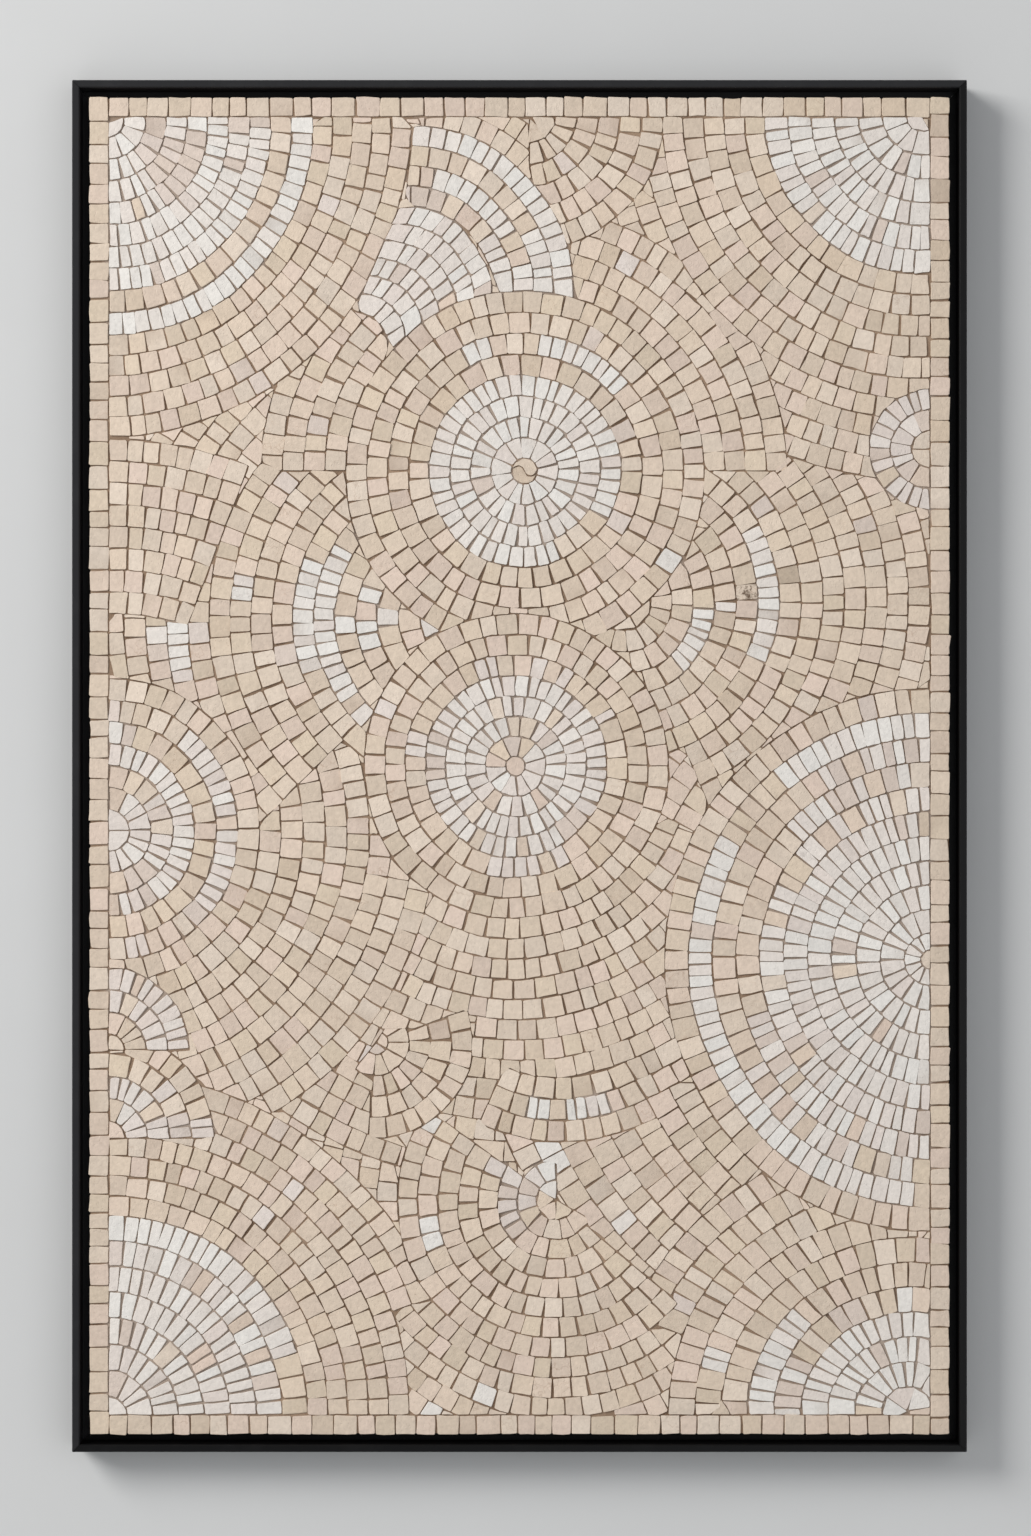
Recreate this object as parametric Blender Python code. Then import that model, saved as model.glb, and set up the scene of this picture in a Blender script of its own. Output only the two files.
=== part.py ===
"""Framed stone mosaic panel for a wall, laid in fans and rosettes.

Units are metres and +Z is up. The panel faces -Y and its rear lies on y = 0. The origin is the
middle of the top rail's rear face, where the panel bears on the wall. From front to back the
panel is stone, setting bed, carrier board and the ledge of a floater frame.

The stones of one colour that lie together are one solid here: a ground of cream stone with
white and cream bands let into it, each an even share of a fan's rings.
"""

import math
from dataclasses import dataclass

import bmesh
import bpy
from mathutils import Matrix, Vector

# Driving sizes
PANEL_W = 0.900
PANEL_H = 1.380
PANEL_D = 0.044
RAIL_FACE = 0.0075  # the frame's narrow front edge
RAIL_CHAMFER = 0.0010
LEDGE_W = 0.025  # how far the rear ledge reaches in behind the board
LEDGE_T = 0.012
SHADOW_GAP = 0.009  # the open channel between frame and stone
BORDER_W = 0.020  # one row of stones round the picture
JOINT = 0.0012  # between stones
JOINT_DEPTH = 0.0020
FIT = 0.0003  # between touching pieces
BOARD_T = 0.015
BED_T = 0.0030
STONE_T = 0.0080
STONES_ACROSS = 43  # in the top and bottom border rows
STONES_DOWN = 60  # in the side border rows
TURN_STEPS = 32  # facets of a full circle

# Sizes that follow
RAIL_REAR = RAIL_FACE + LEDGE_W
CENTRE_Z = (RAIL_REAR - PANEL_H) / 2
MOSAIC_W = PANEL_W - 2 * (RAIL_FACE + SHADOW_GAP)
MOSAIC_H = PANEL_H - 2 * (RAIL_FACE + SHADOW_GAP)
FIELD_W = MOSAIC_W - 2 * BORDER_W
FIELD_H = MOSAIC_H - 2 * BORDER_W
BOARD_REAR = -LEDGE_T - FIT
BED_REAR = BOARD_REAR - BOARD_T - FIT
STONE_REAR = BED_REAR - BED_T - FIT
STONE_FACE = STONE_REAR - STONE_T

# Colours, linear RGB
CREAM = (0.686, 0.571, 0.456)
WHITE = (0.807, 0.783, 0.745)
MORTAR = (0.270, 0.190, 0.130)
BOARD = (0.420, 0.290, 0.170)
BLACK = (0.012, 0.012, 0.013)


@dataclass(frozen=True)
class Fan:
    """Rings of stones about one centre, which is given from the middle of the panel."""

    x: float
    z: float
    hub: float
    pitch: float

    def radius(self, ring):
        """The outer radius of this many rings, counting the hub as the first."""
        return self.hub + (ring - 1) * self.pitch if ring else 0.0


LEFT = -FIELD_W / 2
RIGHT = FIELD_W / 2
TOP = FIELD_H / 2
BOTTOM = -FIELD_H / 2

TOP_LEFT = Fan(LEFT, TOP, 0.015, 0.0214)
TOP_RIGHT = Fan(RIGHT, TOP, 0.018, 0.0245)
BOTTOM_LEFT = Fan(LEFT, BOTTOM, 0.025, 0.0255)
BOTTOM_RIGHT = Fan(RIGHT, BOTTOM, 0.022, 0.0266)
UPPER_ROSETTE = Fan(0.005, 0.297, 0.013, 0.0210)
LOWER_ROSETTE = Fan(-0.004, 0.000, 0.010, 0.0205)
LEFT_HALF = Fan(LEFT, -0.065, 0.021, 0.0220)
SMALL_RIGHT_HALF = Fan(RIGHT, 0.319, 0.019, 0.0210)
LARGE_RIGHT_HALF = Fan(RIGHT, -0.201, 0.028, 0.0232)
LEFT_FAN = Fan(-0.057, 0.147, 0.0214, 0.0214)
RIGHT_FAN = Fan(0.104, 0.165, 0.0075, 0.0215)
SHELL = Fan(-0.111, 0.477, 0.020, 0.0210)
SHELL_HEART = Fan(-0.145, 0.451, 0.012, 0.0210)
UPPER_SIDE_FAN = Fan(LEFT, -0.286, 0.016, 0.0220)
LOWER_SIDE_FAN = Fan(LEFT, -0.375, 0.017, 0.0225)
BASE_FAN = Fan(0.037, -0.437, 0.020, 0.0200)


@dataclass(frozen=True)
class Patch:
    """Bands let into the ground: a node name and colour for each step in the ring numbers."""

    fan: Fan
    start: float
    end: float
    rings: tuple
    bands: tuple

    def spans(self):
        """Each band with its first and last ring."""
        return zip(self.bands, self.rings, self.rings[1:])


PATCHES = (
    Patch(
        TOP_LEFT,
        270,
        360,
        (0, 8, 9, 10),
        (
            ("corner_fan_top_left_heart", WHITE),
            ("corner_fan_top_left_cream_ring", CREAM),
            ("corner_fan_top_left_white_ring", WHITE),
        ),
    ),
    Patch(TOP_RIGHT, 180, 270, (0, 7), (("corner_fan_top_right_heart", WHITE),)),
    Patch(BOTTOM_LEFT, 0, 90, (0, 7), (("corner_fan_bottom_left_heart", WHITE),)),
    Patch(BOTTOM_RIGHT, 90, 180, (0, 7), (("corner_fan_bottom_right_heart", WHITE),)),
    Patch(UPPER_ROSETTE, 0, 360, (0, 5), (("upper_rosette_heart", WHITE),)),
    Patch(UPPER_ROSETTE, 30, 120, (6, 7), (("upper_rosette_crescent", WHITE),)),
    Patch(LOWER_ROSETTE, 0, 360, (0, 5), (("lower_rosette_heart", WHITE),)),
    Patch(LEFT_HALF, -90, 90, (0, 4), (("left_half_rosette_heart", WHITE),)),
    Patch(LEFT_HALF, -45, 45, (5, 6), (("left_half_rosette_band", WHITE),)),
    Patch(SMALL_RIGHT_HALF, 90, 270, (0, 3), (("small_half_rosette", WHITE),)),
    Patch(LARGE_RIGHT_HALF, 90, 270, (0, 6), (("large_half_rosette_heart", WHITE),)),
    Patch(LARGE_RIGHT_HALF, 100, 250, (9, 10), (("large_half_rosette_band", WHITE),)),
    Patch(LEFT_FAN, 145, 232, (6, 8), (("left_fan_band", WHITE),)),
    Patch(RIGHT_FAN, -57, 0, (4, 5), (("right_fan_inner_band", WHITE),)),
    Patch(RIGHT_FAN, -25, 25, (7, 8), (("right_fan_outer_band", WHITE),)),
    Patch(SHELL, 6, 90, (7, 8), (("shell_fan_outer_band", WHITE),)),
    Patch(SHELL, 20, 75, (5, 6), (("shell_fan_inner_band", WHITE),)),
    Patch(SHELL_HEART, 20, 80, (1, 5), (("shell_fan_heart", WHITE),)),
    Patch(UPPER_SIDE_FAN, 0, 90, (2, 4), (("upper_side_fan_band", WHITE),)),
    Patch(LOWER_SIDE_FAN, 20, 90, (2, 3), (("lower_side_fan_band", WHITE),)),
    Patch(BASE_FAN, 65, 120, (2, 3), (("base_fan_band", WHITE),)),
)


def clear_scene():
    """Empty the file, so that the script can be run again."""
    for old in list(bpy.data.objects):
        bpy.data.objects.remove(old, do_unlink=True)


def finish(name, colour, roughness):
    """A Principled material of one colour."""
    material = bpy.data.materials.new(name)
    material.use_nodes = True
    shader = material.node_tree.nodes["Principled BSDF"]
    shader.inputs["Base Color"].default_value = (*colour, 1.0)
    shader.inputs["Roughness"].default_value = roughness
    shader.inputs["Metallic"].default_value = 0.0
    return material


def add_object(name, mesh_source, colour, roughness):
    """Link a finished bmesh to the scene as a named object at the middle of the panel."""
    mesh = bpy.data.meshes.new(name)
    bmesh.ops.recalc_face_normals(mesh_source, faces=mesh_source.faces)
    mesh_source.to_mesh(mesh)
    mesh_source.free()
    mesh.materials.append(finish(name, colour, roughness))
    piece = bpy.data.objects.new(name, mesh)
    piece.location = (0.0, 0.0, CENTRE_Z)
    bpy.context.scene.collection.objects.link(piece)
    return piece


def slab(width, height, rear, thickness):
    """A flat rectangular plate, centred on the panel, whose rear is at the given y."""
    plate = bmesh.new()
    bmesh.ops.create_cube(plate, size=1.0)
    bmesh.ops.scale(plate, vec=(width, thickness, height), verts=plate.verts)
    bmesh.ops.translate(plate, vec=(0.0, rear - thickness / 2, 0.0), verts=plate.verts)
    return plate


def rail_section():
    """The L section of the frame as points of inset from the outer edge, and y."""
    return (
        (0.0, 0.0),
        (0.0, RAIL_CHAMFER - PANEL_D),
        (RAIL_CHAMFER, -PANEL_D),
        (RAIL_FACE - RAIL_CHAMFER, -PANEL_D),
        (RAIL_FACE, RAIL_CHAMFER - PANEL_D),
        (RAIL_FACE, -LEDGE_T),
        (RAIL_REAR, -LEDGE_T),
        (RAIL_REAR, 0.0),
    )


def make_rail(name, along, across, turn):
    """One rail, mitred at both ends: along is its length, across the panel's other size."""
    rail = bmesh.new()
    mitre_gap = FIT / math.sqrt(2)
    ends = []
    for side in (-1, 1):
        corners = [
            rail.verts.new((side * (along / 2 - inset - mitre_gap), y, across / 2 - inset))
            for inset, y in rail_section()
        ]
        ends.append(rail.faces.new(corners))
    edges = [edge for end in ends for edge in end.edges]
    bmesh.ops.bridge_loops(rail, edges=edges)
    bmesh.ops.rotate(rail, verts=rail.verts, matrix=Matrix.Rotation(math.radians(turn), 3, "Y"))
    return add_object(name, rail, BLACK, 0.38)


def make_frame():
    """Four mitred rails."""
    make_rail("frame_rail_top", PANEL_W, PANEL_H, 0)
    make_rail("frame_rail_right", PANEL_H, PANEL_W, 90)
    make_rail("frame_rail_bottom", PANEL_W, PANEL_H, 180)
    make_rail("frame_rail_left", PANEL_H, PANEL_W, 270)


def make_backing():
    """The board that carries the stones, and the bed that they are set in."""
    board = slab(MOSAIC_W, MOSAIC_H, BOARD_REAR, BOARD_T)
    add_object("carrier_board", board, BOARD, 0.7)
    bed = slab(MOSAIC_W - 2 * JOINT, MOSAIC_H - 2 * JOINT, BED_REAR, BED_T)
    add_object("setting_bed", bed, MORTAR, 0.9)


def make_border(name, length, stones, across, turn):
    """A straight row of stones with a V joint in its face between one stone and the next."""
    stone_length = length / stones
    outline = [(length / 2, STONE_REAR), (-length / 2, STONE_REAR), (-length / 2, STONE_FACE)]
    for joint in range(1, stones):
        middle = joint * stone_length - length / 2
        outline += [
            (middle - JOINT / 2, STONE_FACE),
            (middle, STONE_FACE + JOINT_DEPTH),
            (middle + JOINT / 2, STONE_FACE),
        ]
    outline.append((length / 2, STONE_FACE))
    row = bmesh.new()
    near_edge = across / 2 - BORDER_W + JOINT / 2
    face = row.faces.new([row.verts.new((x, y, near_edge)) for x, y in outline])
    grown = bmesh.ops.extrude_face_region(row, geom=[face])
    lifted = [item for item in grown["geom"] if isinstance(item, bmesh.types.BMVert)]
    bmesh.ops.translate(row, vec=(0.0, 0.0, BORDER_W - JOINT / 2), verts=lifted)
    bmesh.ops.rotate(row, verts=row.verts, matrix=Matrix.Rotation(math.radians(turn), 3, "Y"))
    return add_object(name, row, CREAM, 0.6)


def make_borders():
    """The side rows run to the corners, and the top and bottom rows fit between them."""
    between = MOSAIC_W - 2 * BORDER_W - JOINT
    make_border("border_top", between, STONES_ACROSS, MOSAIC_H, 0)
    make_border("border_right", MOSAIC_H, STONES_DOWN, MOSAIC_W, 90)
    make_border("border_bottom", between, STONES_ACROSS, MOSAIC_H, 180)
    make_border("border_left", MOSAIC_H, STONES_DOWN, MOSAIC_W, 270)


def band_profile(fan, first, last, growth, rear, face, grooved):
    """The section of a band as points of radius and y, with a V joint at each ring's edge."""
    inner = fan.radius(first)
    outer = fan.radius(last) + growth
    on_axis = inner == 0.0
    near = 0.0 if on_axis else inner - growth
    section = [(near, rear), (near, face)]
    if grooved:
        for ring in range(first + 1, last):
            middle = fan.radius(ring)
            section += [
                (middle - JOINT / 2, face),
                (middle, face + JOINT_DEPTH),
                (middle + JOINT / 2, face),
            ]
    section += [(outer, face), (outer, rear)]
    return section, on_axis


def turn_section(section, on_axis):
    """Spin a section right round the y axis: a disc if it starts on the axis, else a ring."""
    band = bmesh.new()
    points = [band.verts.new((radius, y, 0.0)) for radius, y in section]
    edges = [band.edges.new(pair) for pair in zip(points, points[1:])]
    if not on_axis:
        edges.append(band.edges.new((points[-1], points[0])))
    bmesh.ops.spin(
        band,
        geom=points + edges,
        cent=(0.0, 0.0, 0.0),
        axis=(0.0, 1.0, 0.0),
        angle=math.tau,
        steps=TURN_STEPS,
        use_merge=True,
    )
    if on_axis:
        bmesh.ops.remove_doubles(band, verts=band.verts, dist=0.00005)
        rim = [edge for edge in band.edges if edge.is_boundary]
        bmesh.ops.holes_fill(band, edges=rim, sides=0)
    return band


def cut_sector(band, start, end, growth):
    """Keep the band between two directions, counted anticlockwise from +X seen from the front."""
    if end - start >= 360:
        return
    for degrees, side in ((start, 1), (end, -1)):
        direction = math.radians(degrees)
        outward = Vector((math.sin(direction), 0.0, -math.cos(direction))) * side
        parts = list(band.verts) + list(band.edges) + list(band.faces)
        cut = bmesh.ops.bisect_plane(
            band,
            geom=parts,
            dist=0.00001,
            plane_co=outward * growth,
            plane_no=outward,
            clear_outer=True,
        )
        rim = [item for item in cut["geom_cut"] if isinstance(item, bmesh.types.BMEdge)]
        bmesh.ops.holes_fill(band, edges=rim, sides=0)
        if end - start == 180:
            return


def sector(patch, first, last, growth, rear, face, grooved):
    """A band of rings of a patch as a closed solid, grown or shrunk on its sides."""
    section, on_axis = band_profile(patch.fan, first, last, growth, rear, face, grooved)
    band = turn_section(section, on_axis)
    cut_sector(band, patch.start, patch.end, growth)
    bmesh.ops.translate(band, vec=(patch.fan.x, 0.0, patch.fan.z), verts=band.verts)
    return band


def make_bands():
    """Each band of each patch, half a joint clear of its neighbours."""
    for patch in PATCHES:
        for (name, colour), first, last in patch.spans():
            band = sector(patch, first, last, -JOINT / 2, STONE_REAR, STONE_FACE, True)
            add_object(name, band, colour, 0.6)


def make_ground():
    """The cream stone round the patches, with an opening through it for each one."""
    width = FIELD_W - JOINT
    height = FIELD_H - JOINT
    ground = add_object("cream_ground", slab(width, height, STONE_REAR, STONE_T), CREAM, 0.6)
    past_rear = STONE_REAR + STONE_T
    past_face = STONE_FACE - STONE_T
    for number, patch in enumerate(PATCHES):
        opening = sector(
            patch, patch.rings[0], patch.rings[-1], JOINT / 2, past_rear, past_face, False
        )
        cutter = add_object(f"opening_{number:02d}", opening, CREAM, 0.6)
        cutter.hide_render = True
        cutter.display_type = "WIRE"
        cut = ground.modifiers.new(cutter.name, "BOOLEAN")
        cut.operation = "DIFFERENCE"
        cut.object = cutter


def main():
    """Build the whole panel."""
    clear_scene()
    make_frame()
    make_backing()
    make_borders()
    make_bands()
    make_ground()


main()
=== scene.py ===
"""Looks of a framed stone mosaic panel: single stones in rings, their mortar, frame and board.

Every size is in metres. Places on the picture are given from the middle of the field of
stones, x to the right and z up, and turned into the frame's own places by Panel.
"""

import logging
import math
import random
from dataclasses import dataclass, field
from enum import Enum
from functools import cached_property
from typing import Iterable, Sequence, Union

import bmesh
import bpy
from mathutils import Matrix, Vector


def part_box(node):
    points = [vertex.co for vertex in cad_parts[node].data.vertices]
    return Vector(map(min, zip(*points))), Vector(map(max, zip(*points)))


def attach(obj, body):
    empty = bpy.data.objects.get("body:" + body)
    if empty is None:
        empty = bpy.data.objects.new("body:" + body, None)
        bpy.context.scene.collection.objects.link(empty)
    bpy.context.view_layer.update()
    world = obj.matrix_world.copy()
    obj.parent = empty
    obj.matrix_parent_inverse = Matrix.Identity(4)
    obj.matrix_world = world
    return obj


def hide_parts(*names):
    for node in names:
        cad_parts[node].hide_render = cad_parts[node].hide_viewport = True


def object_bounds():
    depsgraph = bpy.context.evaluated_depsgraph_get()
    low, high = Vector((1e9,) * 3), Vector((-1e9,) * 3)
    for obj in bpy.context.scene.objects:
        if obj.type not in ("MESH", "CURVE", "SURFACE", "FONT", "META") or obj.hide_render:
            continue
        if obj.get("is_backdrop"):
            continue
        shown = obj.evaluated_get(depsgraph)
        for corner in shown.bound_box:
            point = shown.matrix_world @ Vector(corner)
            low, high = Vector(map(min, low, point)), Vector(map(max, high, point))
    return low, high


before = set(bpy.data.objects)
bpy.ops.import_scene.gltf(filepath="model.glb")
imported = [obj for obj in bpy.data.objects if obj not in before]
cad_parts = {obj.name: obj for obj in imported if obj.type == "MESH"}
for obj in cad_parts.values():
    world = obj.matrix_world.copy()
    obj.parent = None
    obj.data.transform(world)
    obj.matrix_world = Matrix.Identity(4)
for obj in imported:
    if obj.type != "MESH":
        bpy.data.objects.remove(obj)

LOG = logging.getLogger("mosaic")
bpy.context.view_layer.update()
BODY = "root"
TINY = 1e-6

Point = tuple[float, float]
Place = tuple[int, int]


# ---------------- Shader graphs ----------------


class Wire:
    """One output socket of a shader, with arithmetic that adds Math nodes."""

    def __init__(self, graph: "Graph", socket: bpy.types.NodeSocket) -> None:
        """Keep the output socket, and the graph that new nodes go to."""
        self.graph = graph
        self.socket = socket

    def __add__(self, other: "Value") -> "Wire":
        """Sum."""
        return self.graph.maths("ADD", self, other)

    def __radd__(self, other: "Value") -> "Wire":
        """Sum, reflected."""
        return self.graph.maths("ADD", other, self)

    def __sub__(self, other: "Value") -> "Wire":
        """Difference."""
        return self.graph.maths("SUBTRACT", self, other)

    def __rsub__(self, other: "Value") -> "Wire":
        """Difference, reflected."""
        return self.graph.maths("SUBTRACT", other, self)

    def __mul__(self, other: "Value") -> "Wire":
        """Product."""
        return self.graph.maths("MULTIPLY", self, other)

    def __rmul__(self, other: "Value") -> "Wire":
        """Product, reflected."""
        return self.graph.maths("MULTIPLY", other, self)


Value = Union[Wire, float, tuple]


class Graph:
    """The node graph of one material."""

    def __init__(self, name: str) -> None:
        """Start a material with only its output and a Principled shader.

        Args:
            name: the material's name.
        """
        self.material = bpy.data.materials.new(name)
        self.material.use_nodes = True
        self.tree = self.material.node_tree
        self.tree.nodes.clear()
        self.shader = self.tree.nodes.new("ShaderNodeBsdfPrincipled")
        self.out = self.tree.nodes.new("ShaderNodeOutputMaterial")
        self.tree.links.new(self.shader.outputs["BSDF"], self.out.inputs["Surface"])

    def set(self, socket: bpy.types.NodeSocket, value: Value) -> None:
        """Link a wire to a socket, or set the socket to a plain value.

        Args:
            socket: an input socket.
            value: a wire, a number or a colour or vector of numbers.
        """
        if isinstance(value, Wire):
            self.tree.links.new(value.socket, socket)
        elif isinstance(value, tuple) and socket.type == "RGBA" and len(value) == 3:
            socket.default_value = (*value, 1.0)
        else:
            socket.default_value = value

    def feed(self, inputs: dict[str, Value]) -> None:
        """Set or link the shader's inputs by name."""
        for name, value in inputs.items():
            self.set(self.shader.inputs[name], value)

    def node(self, kind: str, settings: dict, sockets: dict, output: Union[str, int] = 0) -> Wire:
        """Add a node.

        Args:
            kind: the node's type.
            settings: its properties, and "stops" for a ramp's places and colours.
            sockets: values or wires by input name or number.
            output: the output to return.

        Returns:
            The chosen output.
        """
        made = self.tree.nodes.new(kind)
        for key, value in settings.items():
            if key == "stops":
                self._set_stops(made.color_ramp, value)
            else:
                setattr(made, key, value)
        for key, value in sockets.items():
            self.set(made.inputs[key], value)
        return Wire(self, made.outputs[output])

    @staticmethod
    def _set_stops(ramp: bpy.types.ColorRamp, stops: Sequence[tuple]) -> None:
        """Give a ramp its stops.

        Args:
            ramp: the ramp.
            stops: pairs of place and colour.
        """
        while len(ramp.elements) < len(stops):
            ramp.elements.new(1.0)
        for element, (place, colour) in zip(ramp.elements, stops):
            element.position = place
            element.color = (*colour, 1.0)

    def maths(self, operation: str, first: Value, second: Value = 0.0) -> Wire:
        """Arithmetic on numbers, by the name of the operation."""
        return self.node("ShaderNodeMath", {"operation": operation}, {0: first, 1: second})

    def blend(self, factor: Value, first: Value, second: Value) -> Wire:
        """A blend of two colours, from 0 for the first to 1 for the second."""
        sockets = {0: factor, 6: first, 7: second}
        return self.node("ShaderNodeMix", {"data_type": "RGBA"}, sockets, 2)

    def vector(self, operation: str, first: Value, second: Value) -> Wire:
        """Arithmetic on vectors, by the name of the operation; SCALE takes a number second."""
        slot = "Scale" if operation == "SCALE" else 1
        return self.node("ShaderNodeVectorMath", {"operation": operation}, {0: first, slot: second})

    def part(self, vector: Wire, axis: int) -> Wire:
        """One part of a vector, by its number."""
        return self.node("ShaderNodeSeparateXYZ", {}, {0: vector}, axis)

    def place(self) -> Wire:
        """The object's own coordinates, in metres."""
        return self.node("ShaderNodeTexCoord", {}, {}, "Object")

    def attribute(self, name: str, output: str) -> Wire:
        """An attribute of the mesh, as the output of this name."""
        return self.node("ShaderNodeAttribute", {"attribute_name": name}, {}, output)

    def noise(self, at: Wire, size: float, detail: float = 2.0, rough: float = 0.5) -> Wire:
        """Noise from 0 to 1 in clouds of this size, with finer layers of this roughness."""
        sockets = {"Vector": at, "Scale": 1.0 / size, "Detail": detail, "Roughness": rough}
        return self.node("ShaderNodeTexNoise", {}, sockets, "Fac")

    def spread(self, value: Value, low: float, high: float) -> Wire:
        """A value stretched so that low to high runs from 0 to 1, and clamped."""
        sockets = {"Value": value, "From Min": low, "From Max": high}
        return self.node("ShaderNodeMapRange", {"clamp": True}, sockets)

    def bump(self, height: Wire, depth: float) -> Wire:
        """A normal from a height, where 1 is this many metres high."""
        return self.node("ShaderNodeBump", {}, {"Height": height, "Distance": depth, "Strength": 1.0})


def linear(red: int, green: int, blue: int) -> tuple[float, float, float]:
    """A display colour, each channel from 0 to 255, as linear values."""
    shares = [channel / 255 for channel in (red, green, blue)]
    return tuple(s / 12.92 if s <= 0.04045 else ((s + 0.055) / 1.055) ** 2.4 for s in shares)


# ---------------- Finishes ----------------

CUT = "cut"  # per-stone attribute: tint, shade and vein, each from 0 to 1
STAINED = 3.0  # the vein of a stained stone
DULL = -1.0  # the shade of a dull, dark stone
PALE = "pale"  # attribute of the mortar: how white the stones about it are


@dataclass(frozen=True)
class StoneFinish:
    """Honed matte stone, cut by hand: a tint and a shade for each stone, clouds, veins, pits."""

    name: str  # the material's name and its slot's
    tints: tuple  # the colours that a stone's tint runs through
    vein: tuple  # the colour of its veins and specks
    roughness: float  # how matte it is
    cloud: float = 0.16  # how strong its clouds are
    shade_range: float = 0.16  # how far its stones differ in lightness
    grain: float = 0.30
    vein_strength: float = 0.36
    speck_strength: float = 0.35
    side_depth_strength: float = 0.60
    side_depth_tint: tuple = linear(150, 128, 108)
    stain: tuple = linear(104, 84, 66)
    cloud_size: float = 0.011
    grain_size: float = 0.0042
    vein_spacing: float = 0.014
    speck_size: float = 0.0024
    stain_size: float = 0.0065
    relief_size: float = 0.0050
    pit_size: float = 0.0018
    relief_depth: float = 0.00065
    side_tint_from: float = 0.0003  # behind the stones' faces, where their sides start to darken toward a mortar brown
    side_tint_full: float = 0.0016  # where that darkening is full

    def material(self, face_y: float) -> bpy.types.Material:
        """Make the material.

        Args:
            face_y: the y of the stones' faces.

        Returns:
            The material.
        """
        graph = Graph(self.name)
        cut = graph.attribute(CUT, "Vector")
        tint, shade, vein = (graph.part(cut, axis) for axis in range(3))
        own_place = graph.vector("ADD", graph.place(), graph.vector("SCALE", cut, 3.0))

        stops = [(n / (len(self.tints) - 1), colour) for n, colour in enumerate(self.tints)]
        colour = graph.node("ShaderNodeValToRGB", {"stops": stops}, {"Fac": tint}, "Color")
        clouds = graph.noise(own_place, self.cloud_size, 3.0, 0.6)
        grain = graph.noise(own_place, self.grain_size, 2.0, 0.6)
        light = 1.0 - self.shade_range / 2 + self.shade_range * shade
        light = light + self.cloud * (clouds - 0.5) + self.grain * (grain - 0.5)
        colour = graph.vector("SCALE", colour, light)

        drift = graph.noise(own_place, self.vein_spacing, 2.0)
        lines = 1.0 - graph.spread(graph.maths("ABSOLUTE", drift - 0.5), 0.0, 0.016)
        veined = lines * graph.spread(vein, 0.84, 1.0) * self.vein_strength
        colour = graph.blend(veined, colour, self.vein)
        specks = graph.spread(graph.noise(own_place, self.speck_size, 1.0), 0.72, 0.80)
        specked = specks * graph.spread(vein, 0.45, 0.75) * self.speck_strength
        colour = graph.blend(specked, colour, self.vein)
        stain = graph.spread(graph.noise(own_place, self.stain_size, 3.0, 0.7), 0.46, 0.60)
        colour = graph.blend(stain * graph.spread(vein, STAINED - 1.0, STAINED), colour, self.stain)

        # Down the stones' sides, from just behind their faces to the mortar's level, the colour turns
        # toward a mortar brown: darker into the joints.
        depths = face_y + self.side_tint_from, face_y + self.side_tint_full
        side_depth_share = graph.spread(graph.part(graph.place(), 1), *depths)
        relief = graph.noise(own_place, self.relief_size, 3.0, 0.55)
        pits = graph.spread(graph.noise(own_place, self.pit_size, 0.0), 0.66, 0.80)
        height = relief - 0.25 * pits + 0.20 * grain
        graph.feed({
            "Base Color": graph.blend(side_depth_share * self.side_depth_strength, colour, self.side_depth_tint),
            "Roughness": self.roughness + 0.14 * (clouds - 0.5),
            "Specular IOR Level": 0.35,
            "Normal": graph.bump(height, self.relief_depth),
        })
        return graph.material


@dataclass(frozen=True)
class MortarFinish:
    """Dry sandy mortar, brown and uneven in tone, and greyer between white stones."""

    dark: tuple = linear(123, 100, 80)
    pale: tuple = linear(167, 143, 121)
    greyer: tuple = linear(176, 163, 152)
    patch_size: float = 0.050
    sand_size: float = 0.0012
    sand_depth: float = 0.0004

    def material(self) -> bpy.types.Material:
        """Make the material.

        Returns:
            The material.
        """
        graph = Graph("setting_mortar")
        place = graph.place()
        tone = graph.noise(place, self.patch_size, 3.0)
        sand = graph.noise(place, self.sand_size, 2.0, 0.7)
        mottle = graph.spread(tone + 0.5 * (sand - 0.5), 0.3, 0.7)
        greyness = graph.attribute(PALE, "Fac") * (0.45 + 0.6 * sand)
        graph.feed({
            "Base Color": graph.blend(greyness, graph.blend(mottle, self.dark, self.pale), self.greyer),
            "Roughness": 0.92,
            "Normal": graph.bump(sand, self.sand_depth),
        })
        return graph.material


@dataclass(frozen=True)
class PaintFinish:
    """Satin black paint over planed wood: faint brush lines and a trace of wear."""

    name: str
    colour: tuple
    worn: tuple
    wear: float = 0.35
    roughness: float = 0.42
    scuff_size: float = 0.030
    brush_size: float = 0.0011
    brush_depth: float = 0.00006

    def material(self) -> bpy.types.Material:
        """Make the material.

        Returns:
            The material.
        """
        graph = Graph(self.name)
        place = graph.place()
        scuffs = graph.spread(graph.noise(place, self.scuff_size, 4.0, 0.65), 0.52, 0.78)
        fine = graph.noise(place, self.brush_size, 2.0)
        graph.feed({
            "Base Color": graph.blend(scuffs * self.wear, self.colour, self.worn),
            "Roughness": self.roughness + 0.10 * scuffs + 0.05 * fine,
            "Specular IOR Level": 0.22,
            "Normal": graph.bump(fine, self.brush_depth),
        })
        return graph.material


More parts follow.
